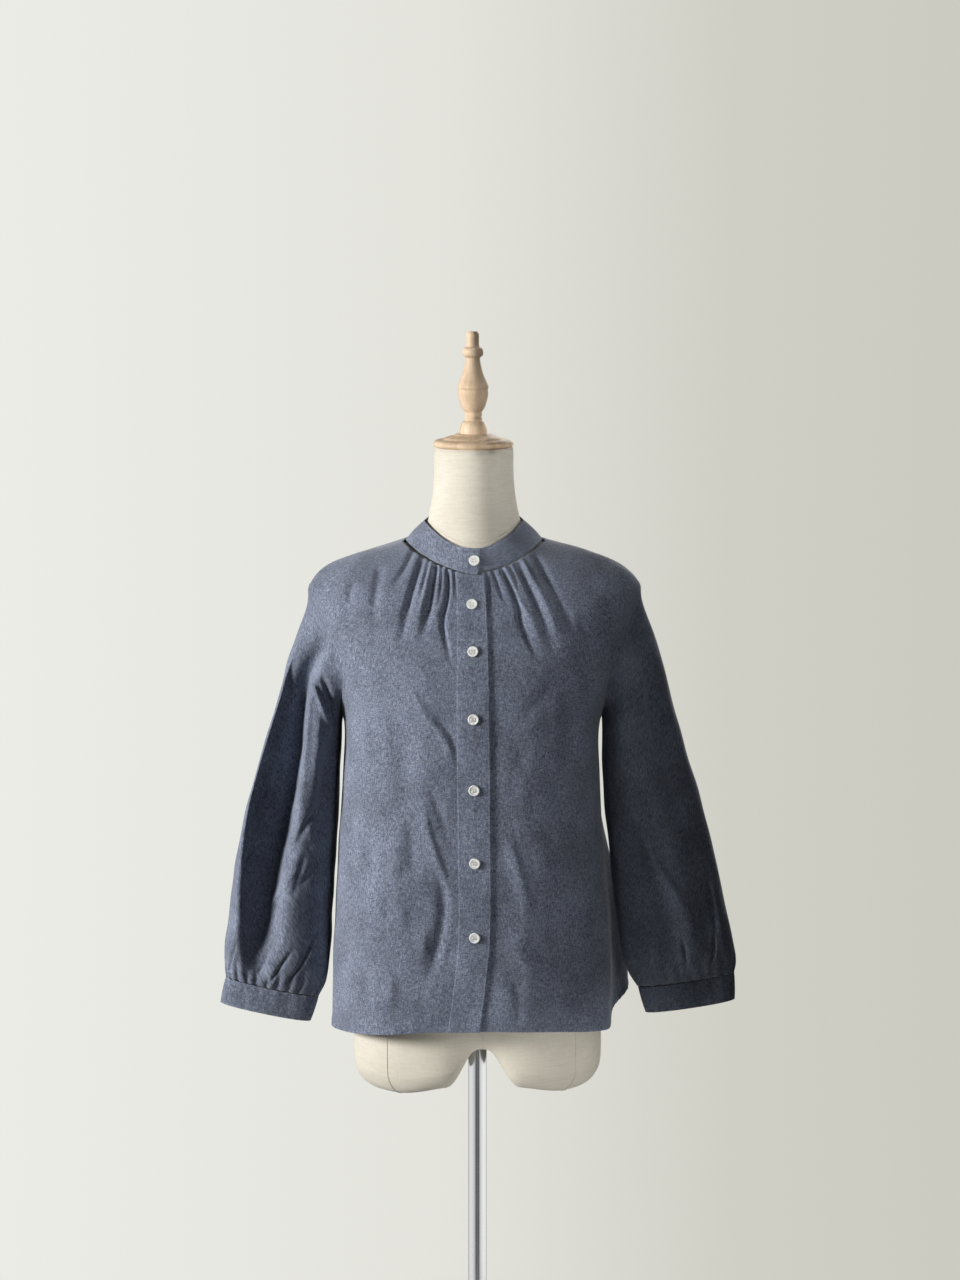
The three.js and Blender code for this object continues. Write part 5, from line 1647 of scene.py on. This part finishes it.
@dataclass
class Stand:
    """The chrome pole and its round foot."""

    pole_r: float = 12.7
    pole_low: float = 5.45
    pole_top: float = 722.0
    foot: tuple = (
        (161, 0),
        (163.8, 0.5),
        (165, 2),
        (165, 5),
        (163.8, 7.6),
        (161, 9),
        (32, 12),
        (26, 14.5),
        (24, 19),
        (24, 46),
        (23.4, 47.4),
        (22, 48),
        (13.15, 48),
        (13.15, 5),
    )

    def build(self, chrome: bpy.types.Material) -> None:
        """Turn and dress the pole and the foot."""
        pole = ((self.pole_r, self.pole_low), (self.pole_r, 360.0), (self.pole_r, self.pole_top))
        for name, profile, steps, node in (
            ("stand_tube", pole, 64, "stand_pole"),
            ("stand_foot", self.foot, 128, "stand_base"),
        ):
            dress(new_object(name, turned(name, profile, steps)), chrome, "chrome", node)


# Finishes


@dataclass
class Bench:
    """A new material and its nodes."""

    name: str

    def __post_init__(self) -> None:
        """Start with the shader alone."""
        self.material = bpy.data.materials.new(self.name)
        self.material.use_nodes = True
        self.tree = self.material.node_tree
        self.shader = self.tree.nodes["Principled BSDF"]

    def node(self, kind: str, **settings: object) -> bpy.types.Node:
        """Add a node, with settings or, in capitals, input values."""
        made = self.tree.nodes.new(kind)
        for key, value in settings.items():
            if key[0].isupper():
                made.inputs[key.replace("_", " ")].default_value = value
            else:
                setattr(made, key, value)
        return made

    def link(self, source: bpy.types.NodeSocket, target: bpy.types.NodeSocket) -> None:
        """Join two sockets."""
        self.tree.links.new(source, target)

    def stretched_noise(self, source: bpy.types.NodeSocket, scale: tuple, detail: float = 2.0) -> bpy.types.NodeSocket:
        """Return noise whose grains differ in size along each axis."""
        mapping = self.node("ShaderNodeMapping")
        mapping.inputs["Scale"].default_value = scale
        self.link(source, mapping.inputs["Vector"])
        noise = self.node("ShaderNodeTexNoise", Scale=1.0, Detail=detail, Roughness=0.55)
        self.link(mapping.outputs["Vector"], noise.inputs["Vector"])
        return noise.outputs["Fac"]

    def ranged(self, source: bpy.types.NodeSocket, low: float, high: float, to_low: float, to_high: float) -> bpy.types.NodeSocket:
        """Return a value moved from one range to another, clamped."""
        node = self.node("ShaderNodeMapRange")
        node.inputs["From Min"].default_value = low
        node.inputs["From Max"].default_value = high
        node.inputs["To Min"].default_value = to_low
        node.inputs["To Max"].default_value = to_high
        self.link(source, node.inputs["Value"])
        return node.outputs["Result"]

    def calc(self, operation: str, a: object, b: object) -> bpy.types.NodeSocket:
        """Return a sum, product or the like of sockets or numbers."""
        node = self.node("ShaderNodeMath", operation=operation)
        for socket, part in zip(node.inputs, (a, b)):
            if isinstance(part, (int, float)):
                socket.default_value = part
            else:
                self.link(part, socket)
        return node.outputs["Value"]

    def blend(self, share: bpy.types.NodeSocket, first: tuple, second: tuple) -> bpy.types.NodeSocket:
        """Return a colour between two."""
        node = self.node("ShaderNodeMix", data_type="RGBA")
        node.inputs[6].default_value = (*first, 1)
        node.inputs[7].default_value = (*second, 1)
        self.link(share, node.inputs[0])
        return node.outputs[2]

    def shaded(self, colour: bpy.types.NodeSocket, amount: bpy.types.NodeSocket) -> bpy.types.NodeSocket:
        """Return a colour multiplied by an amount."""
        node = self.node("ShaderNodeVectorMath", operation="SCALE")
        self.link(colour, node.inputs[0])
        self.link(amount, node.inputs["Scale"])
        return node.outputs[0]

    def folded(self, noise: bpy.types.NodeSocket) -> bpy.types.NodeSocket:
        """Return noise folded at its middle, which leaves crisp lines as in crumpled cloth."""
        return self.calc("ABSOLUTE", self.calc("SUBTRACT", noise, 0.5), 0.0)

    def bump(self, heights: Sequence[tuple]) -> None:
        """Stack bumps of (height socket, distance in metres, strength) on the shader."""
        normal = None
        for height, distance, strength in heights:
            node = self.node("ShaderNodeBump", Distance=distance, Strength=strength)
            self.link(height, node.inputs["Height"])
            if normal is not None:
                self.link(normal, node.inputs["Normal"])
            normal = node.outputs["Normal"]
        self.link(normal, self.shader.inputs["Normal"])

    def set(self, **values: object) -> None:
        """Set constant values on the shader's own sockets."""
        for key, value in values.items():
            self.shader.inputs[key.replace("_", " ")].default_value = value


@dataclass(frozen=True)
class Chambray:
    """Washed chambray: a blue warp crossed by a pale weft, heathered, with paler worn edges."""

    warp: tuple = (0.05, 0.07, 0.128)
    weft: tuple = (0.245, 0.268, 0.325)
    roughness: float = 0.92

    def material(self) -> bpy.types.Material:
        """Return the finish."""
        bench = Bench("chambray")
        cloth = bench.node("ShaderNodeUVMap", uv_map=CLOTH_MAP).outputs["UV"]
        warp = bench.stretched_noise(cloth, (2300, 120, 1))
        weft = bench.stretched_noise(cloth, (120, 2300, 1))
        heather = bench.stretched_noise(cloth, (560, 640, 1), 4.0)
        slubs = bench.stretched_noise(cloth, (520, 150, 1), 3.0)
        spots = bench.stretched_noise(cloth, (190, 240, 1), 3.0)
        place = bench.node("ShaderNodeTexCoord").outputs["Object"]
        tone = bench.stretched_noise(place, (24, 24, 18), 3.0)
        threads = bench.calc("ADD", bench.calc("MULTIPLY", warp, 0.4), bench.calc("MULTIPLY", weft, 0.6))
        coarse = bench.calc("ADD", bench.calc("MULTIPLY", heather, 0.6), bench.calc("MULTIPLY", slubs, 0.4))
        mixed = bench.calc("ADD", bench.calc("MULTIPLY", threads, 0.4), bench.calc("MULTIPLY", coarse, 0.6))
        share = bench.ranged(mixed, 0.425, 0.575, 0.0, 1.0)
        colour = bench.blend(share, self.warp, self.weft)
        amount = bench.calc(
            "MULTIPLY",
            bench.ranged(spots, 0.36, 0.64, 0.8, 1.2),
            bench.ranged(tone, 0.34, 0.66, 0.8, 1.16),
        )
        edge = bench.node("ShaderNodeAttribute", attribute_name=EDGE_SHADE).outputs["Fac"]
        amount = bench.calc("MULTIPLY", amount, bench.ranged(edge, 0.0, 1.0, 1.0, 1.2))
        bench.link(bench.shaded(colour, amount), bench.shader.inputs["Base Color"])
        rough = bench.ranged(threads, 0.35, 0.65, self.roughness - 0.05, self.roughness + 0.03)
        bench.link(rough, bench.shader.inputs["Roughness"])
        bench.set(Specular_IOR_Level=0.22, Sheen_Weight=0.16, Sheen_Roughness=0.5)
        crumple = bench.stretched_noise(place, (34, 34, 26), 5.0)
        crinkle = bench.folded(bench.stretched_noise(place, (21, 21, 15), 2.5))
        crushed = bench.folded(bench.stretched_noise(place, (74, 74, 58), 3.0))
        bench.bump(
            (
                (crinkle, 0.006, 0.6),
                (crumple, 0.0028, 0.6),
                (crushed, 0.0016, 0.5),
                (threads, 0.0003, 0.5),
                (coarse, 0.0006, 0.45),
            )
        )
        return bench.material


@dataclass(frozen=True)
class Linen:
    """Natural linen stretched over padding."""

    dark: tuple = (0.53, 0.495, 0.42)
    pale: tuple = (0.65, 0.62, 0.54)

    def material(self) -> bpy.types.Material:
        """Return the finish."""
        bench = Bench("linen")
        place = bench.node("ShaderNodeTexCoord").outputs["Object"]
        upright = bench.stretched_noise(place, (1500, 1500, 90))
        level = bench.stretched_noise(place, (90, 90, 1500))
        slub = bench.stretched_noise(place, (40, 40, 420))
        tone = bench.stretched_noise(place, (8, 8, 8))
        threads = bench.calc("ADD", bench.calc("MULTIPLY", upright, 0.5), bench.calc("MULTIPLY", level, 0.5))
        mixed = bench.calc("ADD", bench.calc("MULTIPLY", threads, 0.7), bench.calc("MULTIPLY", slub, 0.3))
        colour = bench.blend(bench.ranged(mixed, 0.34, 0.66, 0.0, 1.0), self.dark, self.pale)
        shaded = bench.shaded(colour, bench.ranged(tone, 0.35, 0.65, 0.95, 1.05))
        bench.link(shaded, bench.shader.inputs["Base Color"])
        bench.link(bench.ranged(threads, 0.35, 0.65, 0.88, 0.96), bench.shader.inputs["Roughness"])
        bench.set(Specular_IOR_Level=0.25, Sheen_Weight=0.08, Sheen_Roughness=0.5)
        bench.bump(((threads, 0.00025, 0.5), (slub, 0.0003, 0.4)))
        return bench.material


@dataclass(frozen=True)
class Beech:
    """Pale turned wood with a fine upright grain."""

    dark: tuple = (0.47, 0.33, 0.205)
    pale: tuple = (0.72, 0.57, 0.41)

    def material(self) -> bpy.types.Material:
        """Return the finish."""
        bench = Bench("beech")
        place = bench.node("ShaderNodeTexCoord").outputs["Object"]
        grain = bench.stretched_noise(place, (130, 130, 9), 4.0)
        flecks = bench.stretched_noise(place, (900, 900, 110), 2.0)
        broad = bench.stretched_noise(place, (24, 24, 5), 2.0)
        mixed = bench.calc("ADD", bench.calc("MULTIPLY", grain, 0.5), bench.calc("MULTIPLY", broad, 0.5))
        colour = bench.blend(bench.ranged(mixed, 0.36, 0.62, 0.0, 1.0), self.pale, self.dark)
        shaded = bench.shaded(colour, bench.ranged(flecks, 0.3, 0.7, 0.9, 1.06))
        bench.link(shaded, bench.shader.inputs["Base Color"])
        bench.link(bench.ranged(grain, 0.3, 0.7, 0.48, 0.66), bench.shader.inputs["Roughness"])
        bench.set(Specular_IOR_Level=0.35, Coat_Weight=0.08, Coat_Roughness=0.4)
        bench.bump(((grain, 0.0003, 0.35), (flecks, 0.00012, 0.4)))
        return bench.material


@dataclass(frozen=True)
class Chrome:
    """Polished chrome with the faint unevenness of a handled tube."""

    tint: tuple = (0.58, 0.585, 0.6)

    def material(self) -> bpy.types.Material:
        """Return the finish."""
        bench = Bench("chrome")
        place = bench.node("ShaderNodeTexCoord").outputs["Object"]
        smear = bench.stretched_noise(place, (60, 60, 14), 3.0)
        darker = tuple(part * 0.93 for part in self.tint)
        bench.link(bench.blend(smear, darker, self.tint), bench.shader.inputs["Base Color"])
        bench.link(bench.ranged(smear, 0.3, 0.7, 0.1, 0.2), bench.shader.inputs["Roughness"])
        bench.set(Metallic=1.0)
        bench.bump(((smear, 0.0001, 0.15),))
        return bench.material


@dataclass(frozen=True)
class ButtonShell:
    """White button shell with a faint cloudy grain."""

    cloudy: tuple = (0.82, 0.81, 0.77)
    clear: tuple = (0.93, 0.925, 0.9)

    def material(self) -> bpy.types.Material:
        """Return the finish."""
        bench = Bench("button")
        place = bench.node("ShaderNodeTexCoord").outputs["Object"]
        cloud = bench.stretched_noise(place, (320, 320, 120), 3.0)
        colour = bench.blend(bench.ranged(cloud, 0.35, 0.65, 0.0, 1.0), self.cloudy, self.clear)
        bench.link(colour, bench.shader.inputs["Base Color"])
        bench.link(bench.ranged(cloud, 0.3, 0.7, 0.22, 0.34), bench.shader.inputs["Roughness"])
        bench.set(Subsurface_Weight=0.05, Coat_Weight=0.3, Coat_Roughness=0.15)
        bench.bump(((cloud, 0.0001, 0.2),))
        return bench.material


@dataclass(frozen=True)
class Thread:
    """Twisted sewing thread of one colour."""

    name: str
    dark: tuple
    pale: tuple

    def material(self) -> bpy.types.Material:
        """Return the finish."""
        bench = Bench(self.name)
        place = bench.node("ShaderNodeTexCoord").outputs["Object"]
        twist = bench.stretched_noise(place, (2600, 2600, 2600), 1.0)
        colour = bench.blend(bench.ranged(twist, 0.35, 0.65, 0.0, 1.0), self.dark, self.pale)
        bench.link(colour, bench.shader.inputs["Base Color"])
        bench.link(bench.ranged(twist, 0.35, 0.65, 0.6, 0.8), bench.shader.inputs["Roughness"])
        bench.set(Sheen_Weight=0.15)
        bench.bump(((twist, 0.0001, 0.5),))
        return bench.material


# The studio


@dataclass
class Studio:
    """A pale floor, soft light from the viewer's upper left, and the camera."""

    camera_at: tuple = (0.0035, -3.0, 1.5)
    camera_tilt: float = 85.0
    lens: float = 62.5
    key_at: tuple = (-2.75, -1.12, 1.72)
    key_aim: tuple = (0.0, -0.05, 1.1)
    key_size: float = 0.8
    key_power: float = 144.0
    top_power: float = 5.0
    back_power: float = 60.0
    sky: float = 0.02
    floor_radius: float = 3.2

    def camera(self) -> None:
        """Place the camera at the photograph's angle."""
        lens = bpy.data.cameras.new("camera")
        lens.lens = self.lens
        lens.sensor_width = 36
        lens.sensor_fit = "AUTO"
        camera = bpy.data.objects.new("camera", lens)
        camera.location = self.camera_at
        camera.rotation_euler = (math.radians(self.camera_tilt), 0, 0)
        bpy.context.scene.collection.objects.link(camera)
        bpy.context.scene.camera = camera

    def softbox(
        self,
        name: str,
        at: tuple,
        aim: tuple,
        size: tuple,
        power: float,
        spread: float = 180.0,
    ) -> None:
        """Place one soft light, which a grid may narrow to a spread in degrees."""
        light = bpy.data.lights.new(name, "AREA")
        light.shape = "RECTANGLE"
        light.size, light.size_y = size
        light.energy = power
        light.spread = math.radians(spread)
        light.color = (1.0, 0.985, 0.96)
        lamp = bpy.data.objects.new(name, light)
        lamp.location = at
        lamp.rotation_euler = (Vector(aim) - Vector(at)).to_track_quat("-Z", "Y").to_euler()
        lamp.visible_camera = False
        bpy.context.scene.collection.objects.link(lamp)

    def lights(self) -> None:
        """Place the key, the light overhead and behind, and the gridded fills from the viewer's right."""
        self.softbox("key", self.key_at, self.key_aim, (self.key_size, self.key_size), self.key_power)
        self.softbox("top", (0.0, -0.6, 3.4), (0.0, -0.05, 1.1), (1.6, 1.6), self.top_power)
        self.softbox("behind", (0.9, 2.9, 2.5), (0.0, 0.0, 1.05), (1.8, 1.8), self.back_power)
        self.softbox("front_fill", (1.3, -3.0, 1.08), (0.05, -0.05, 1.08), (0.22, 1.0), 0.25, 9.0)
        self.softbox("neck_fill", (2.0, -1.6, 1.48), (0.02, -0.02, 1.47), (0.3, 0.22), 0.085, 6.0)
        self.softbox("hip_fill", (1.6, -2.0, 0.6), (0.07, -0.02, 0.67), (0.3, 0.1), 0.055, 5.0)

    def backdrop(self) -> None:
        """Give the world a pale backdrop to the eye, painted darker towards the viewer's right as painted shade, and a
        dim, uneven light to the object.
        """
        world = bpy.data.worlds.new("studio")
        bpy.context.scene.world = world
        world.use_nodes = True
        tree = world.node_tree
        tree.nodes.clear()

        def node(kind: str) -> bpy.types.Node:
            """Add a node."""
            return tree.nodes.new(kind)

        place = node("ShaderNodeTexCoord")
        parts = node("ShaderNodeSeparateXYZ")
        tree.links.new(place.outputs["Generated"], parts.inputs["Vector"])
        shares = []
        for low, high in ((-0.24, 0.26), (-1.0, 1.0)):
            ramp = node("ShaderNodeMapRange")
            ramp.inputs["From Min"].default_value = low
            ramp.inputs["From Max"].default_value = high
            tree.links.new(parts.outputs["X"], ramp.inputs["Value"])
            shares.append(ramp.outputs["Result"])
        # The backdrop ramp is painted shade: lighter on the viewer's left and darker towards the right, standing in for
        # the key light falling off across a wall that is not built and for the garment's soft shadow on it.
        backdrop_painted_shade = node("ShaderNodeValToRGB")
        lit = node("ShaderNodeValToRGB")
        mirrored = node("ShaderNodeValToRGB")
        for ramp, stops in (
            (
                mirrored,
                (
                    (0.0, (1.3, 1.3, 1.3)),
                    (0.2, (0.9, 0.9, 0.9)),
                    (0.36, (0.1, 0.1, 0.1)),
                    (0.5, (0.3, 0.3, 0.29)),
                    (0.62, (0.06, 0.06, 0.06)),
                    (0.78, (1.0, 1.0, 0.98)),
                    (1.0, (1.5, 1.5, 1.45)),
                ),
            ),
            # Backdrop stops: painted shade, darker towards the viewer's right.
            (backdrop_painted_shade, ((0.0, (0.84, 0.85, 0.8)), (0.45, (0.77, 0.77, 0.72)), (0.7, (0.63, 0.625, 0.565)), (1.0, (0.59, 0.58, 0.52)))),
            (
                lit,
                (
                    (0.0, (1.7, 1.7, 1.65)),
                    (0.3, (0.9, 0.9, 0.88)),
                    (0.44, (0.25, 0.25, 0.26)),
                    (0.62, (0.8, 0.79, 0.76)),
                    (1.0, (0.3, 0.3, 0.3)),
                ),
            ),
        ):
            colours = ramp.color_ramp.elements
            while len(colours) < len(stops):
                colours.new(1.0)
            for stop, (at, colour) in zip(colours, stops):
                stop.position = at
                stop.color = (*colour, 1)
        tree.links.new(shares[0], backdrop_painted_shade.inputs["Fac"])
        tree.links.new(shares[1], lit.inputs["Fac"])
        tree.links.new(shares[1], mirrored.inputs["Fac"])
        eye = node("ShaderNodeBackground")
        glow = node("ShaderNodeBackground")
        glow.inputs["Strength"].default_value = self.sky
        tree.links.new(backdrop_painted_shade.outputs["Color"], eye.inputs["Color"])
        tree.links.new(lit.outputs["Color"], glow.inputs["Color"])
        path = node("ShaderNodeLightPath")
        choice = node("ShaderNodeMixShader")
        tree.links.new(path.outputs["Is Camera Ray"], choice.inputs["Fac"])
        tree.links.new(glow.outputs["Background"], choice.inputs[1])
        tree.links.new(eye.outputs["Background"], choice.inputs[2])
        floor_glow = node("ShaderNodeBackground")
        tree.links.new(mirrored.outputs["Color"], floor_glow.inputs["Color"])
        steep = parts.outputs["Z"]
        for operation, number in (("SUBTRACT", 0.035), ("ABSOLUTE", 0.0), ("GREATER_THAN", 0.115)):
            step = node("ShaderNodeMath")
            step.operation = operation
            step.inputs[1].default_value = number
            tree.links.new(steep, step.inputs[0])
            steep = step.outputs["Value"]
        reflected = node("ShaderNodeMath")
        reflected.operation = "MULTIPLY"
        tree.links.new(steep, reflected.inputs[0])
        tree.links.new(path.outputs["Is Glossy Ray"], reflected.inputs[1])
        whole = node("ShaderNodeMixShader")
        tree.links.new(reflected.outputs["Value"], whole.inputs["Fac"])
        tree.links.new(choice.outputs["Shader"], whole.inputs[1])
        tree.links.new(floor_glow.outputs["Background"], whole.inputs[2])
        out = node("ShaderNodeOutputWorld")
        tree.links.new(whole.outputs["Shader"], out.inputs["Surface"])

    def floor(self) -> None:
        """Lay the pale floor, which fades out away from the stand."""
        bm = bmesh.new()
        bmesh.ops.create_circle(bm, cap_ends=True, segments=96, radius=self.floor_radius)
        mesh = bpy.data.meshes.new("floor")
        bm.to_mesh(mesh)
        bm.free()
        mesh.transform(Matrix.Translation((0, 0, -0.0005)))
        disc = new_object("floor", mesh)
        bench = Bench("floor")
        place = bench.node("ShaderNodeTexCoord").outputs["Object"]
        reach = bench.node("ShaderNodeVectorMath", operation="LENGTH")
        bench.link(place, reach.inputs[0])
        tone = bench.stretched_noise(place, (3, 3, 3))
        colour = bench.blend(bench.ranged(tone, 0.3, 0.7, 0.0, 1.0), (0.7, 0.69, 0.66), (0.76, 0.75, 0.72))
        bench.link(colour, bench.shader.inputs["Base Color"])
        bench.link(bench.ranged(reach.outputs["Value"], 0.42, 0.92, 1.0, 0.0), bench.shader.inputs["Alpha"])
        bench.set(Roughness=0.85)
        disc.data.materials.append(bench.material)

    def build(self) -> None:
        """Set the whole studio."""
        self.camera()
        self.lights()
        self.backdrop()
        self.floor()
        bpy.context.scene.view_settings.view_transform = "Standard"


def main() -> None:
    """Build the shirt, the form, its stand and the studio."""
    logging.basicConfig(level=logging.INFO, format="%(relativeCreated)d ms %(name)s %(message)s")
    Studio().build()
    chambray = Chambray().material()
    linen = Linen().material()
    thread = Thread("thread", (0.1, 0.125, 0.19), (0.2, 0.235, 0.32)).material()
    cotton = Thread("cotton", (0.55, 0.55, 0.52), (0.8, 0.79, 0.75)).material()
    garment = Garment()
    DressForm(garment).build(linen)
    NeckCap().build(Beech().material())
    Stand().build(Chrome().material())
    armholes = {side: Armhole(garment, side) for side in Side}
    panels = BodyPanels(garment, armholes)
    panels.build(chambray)
    placket = Placket(garment)
    placket.build(chambray)
    collar = BandCollar(garment)
    collar.build(chambray)
    cuffs = []
    for shape in (RIGHT_SLEEVE, LEFT_SLEEVE):
        Sleeve(shape, armholes[shape.side]).build(chambray)
        cuff = Cuff(shape)
        cuff.build(chambray)
        cuffs.append(cuff)
    Seams(garment, placket, collar, panels, cuffs).build(thread)
    Buttons(garment, placket, collar).build(ButtonShell().material(), thread, cotton)


if __name__ == "__main__":
    main()
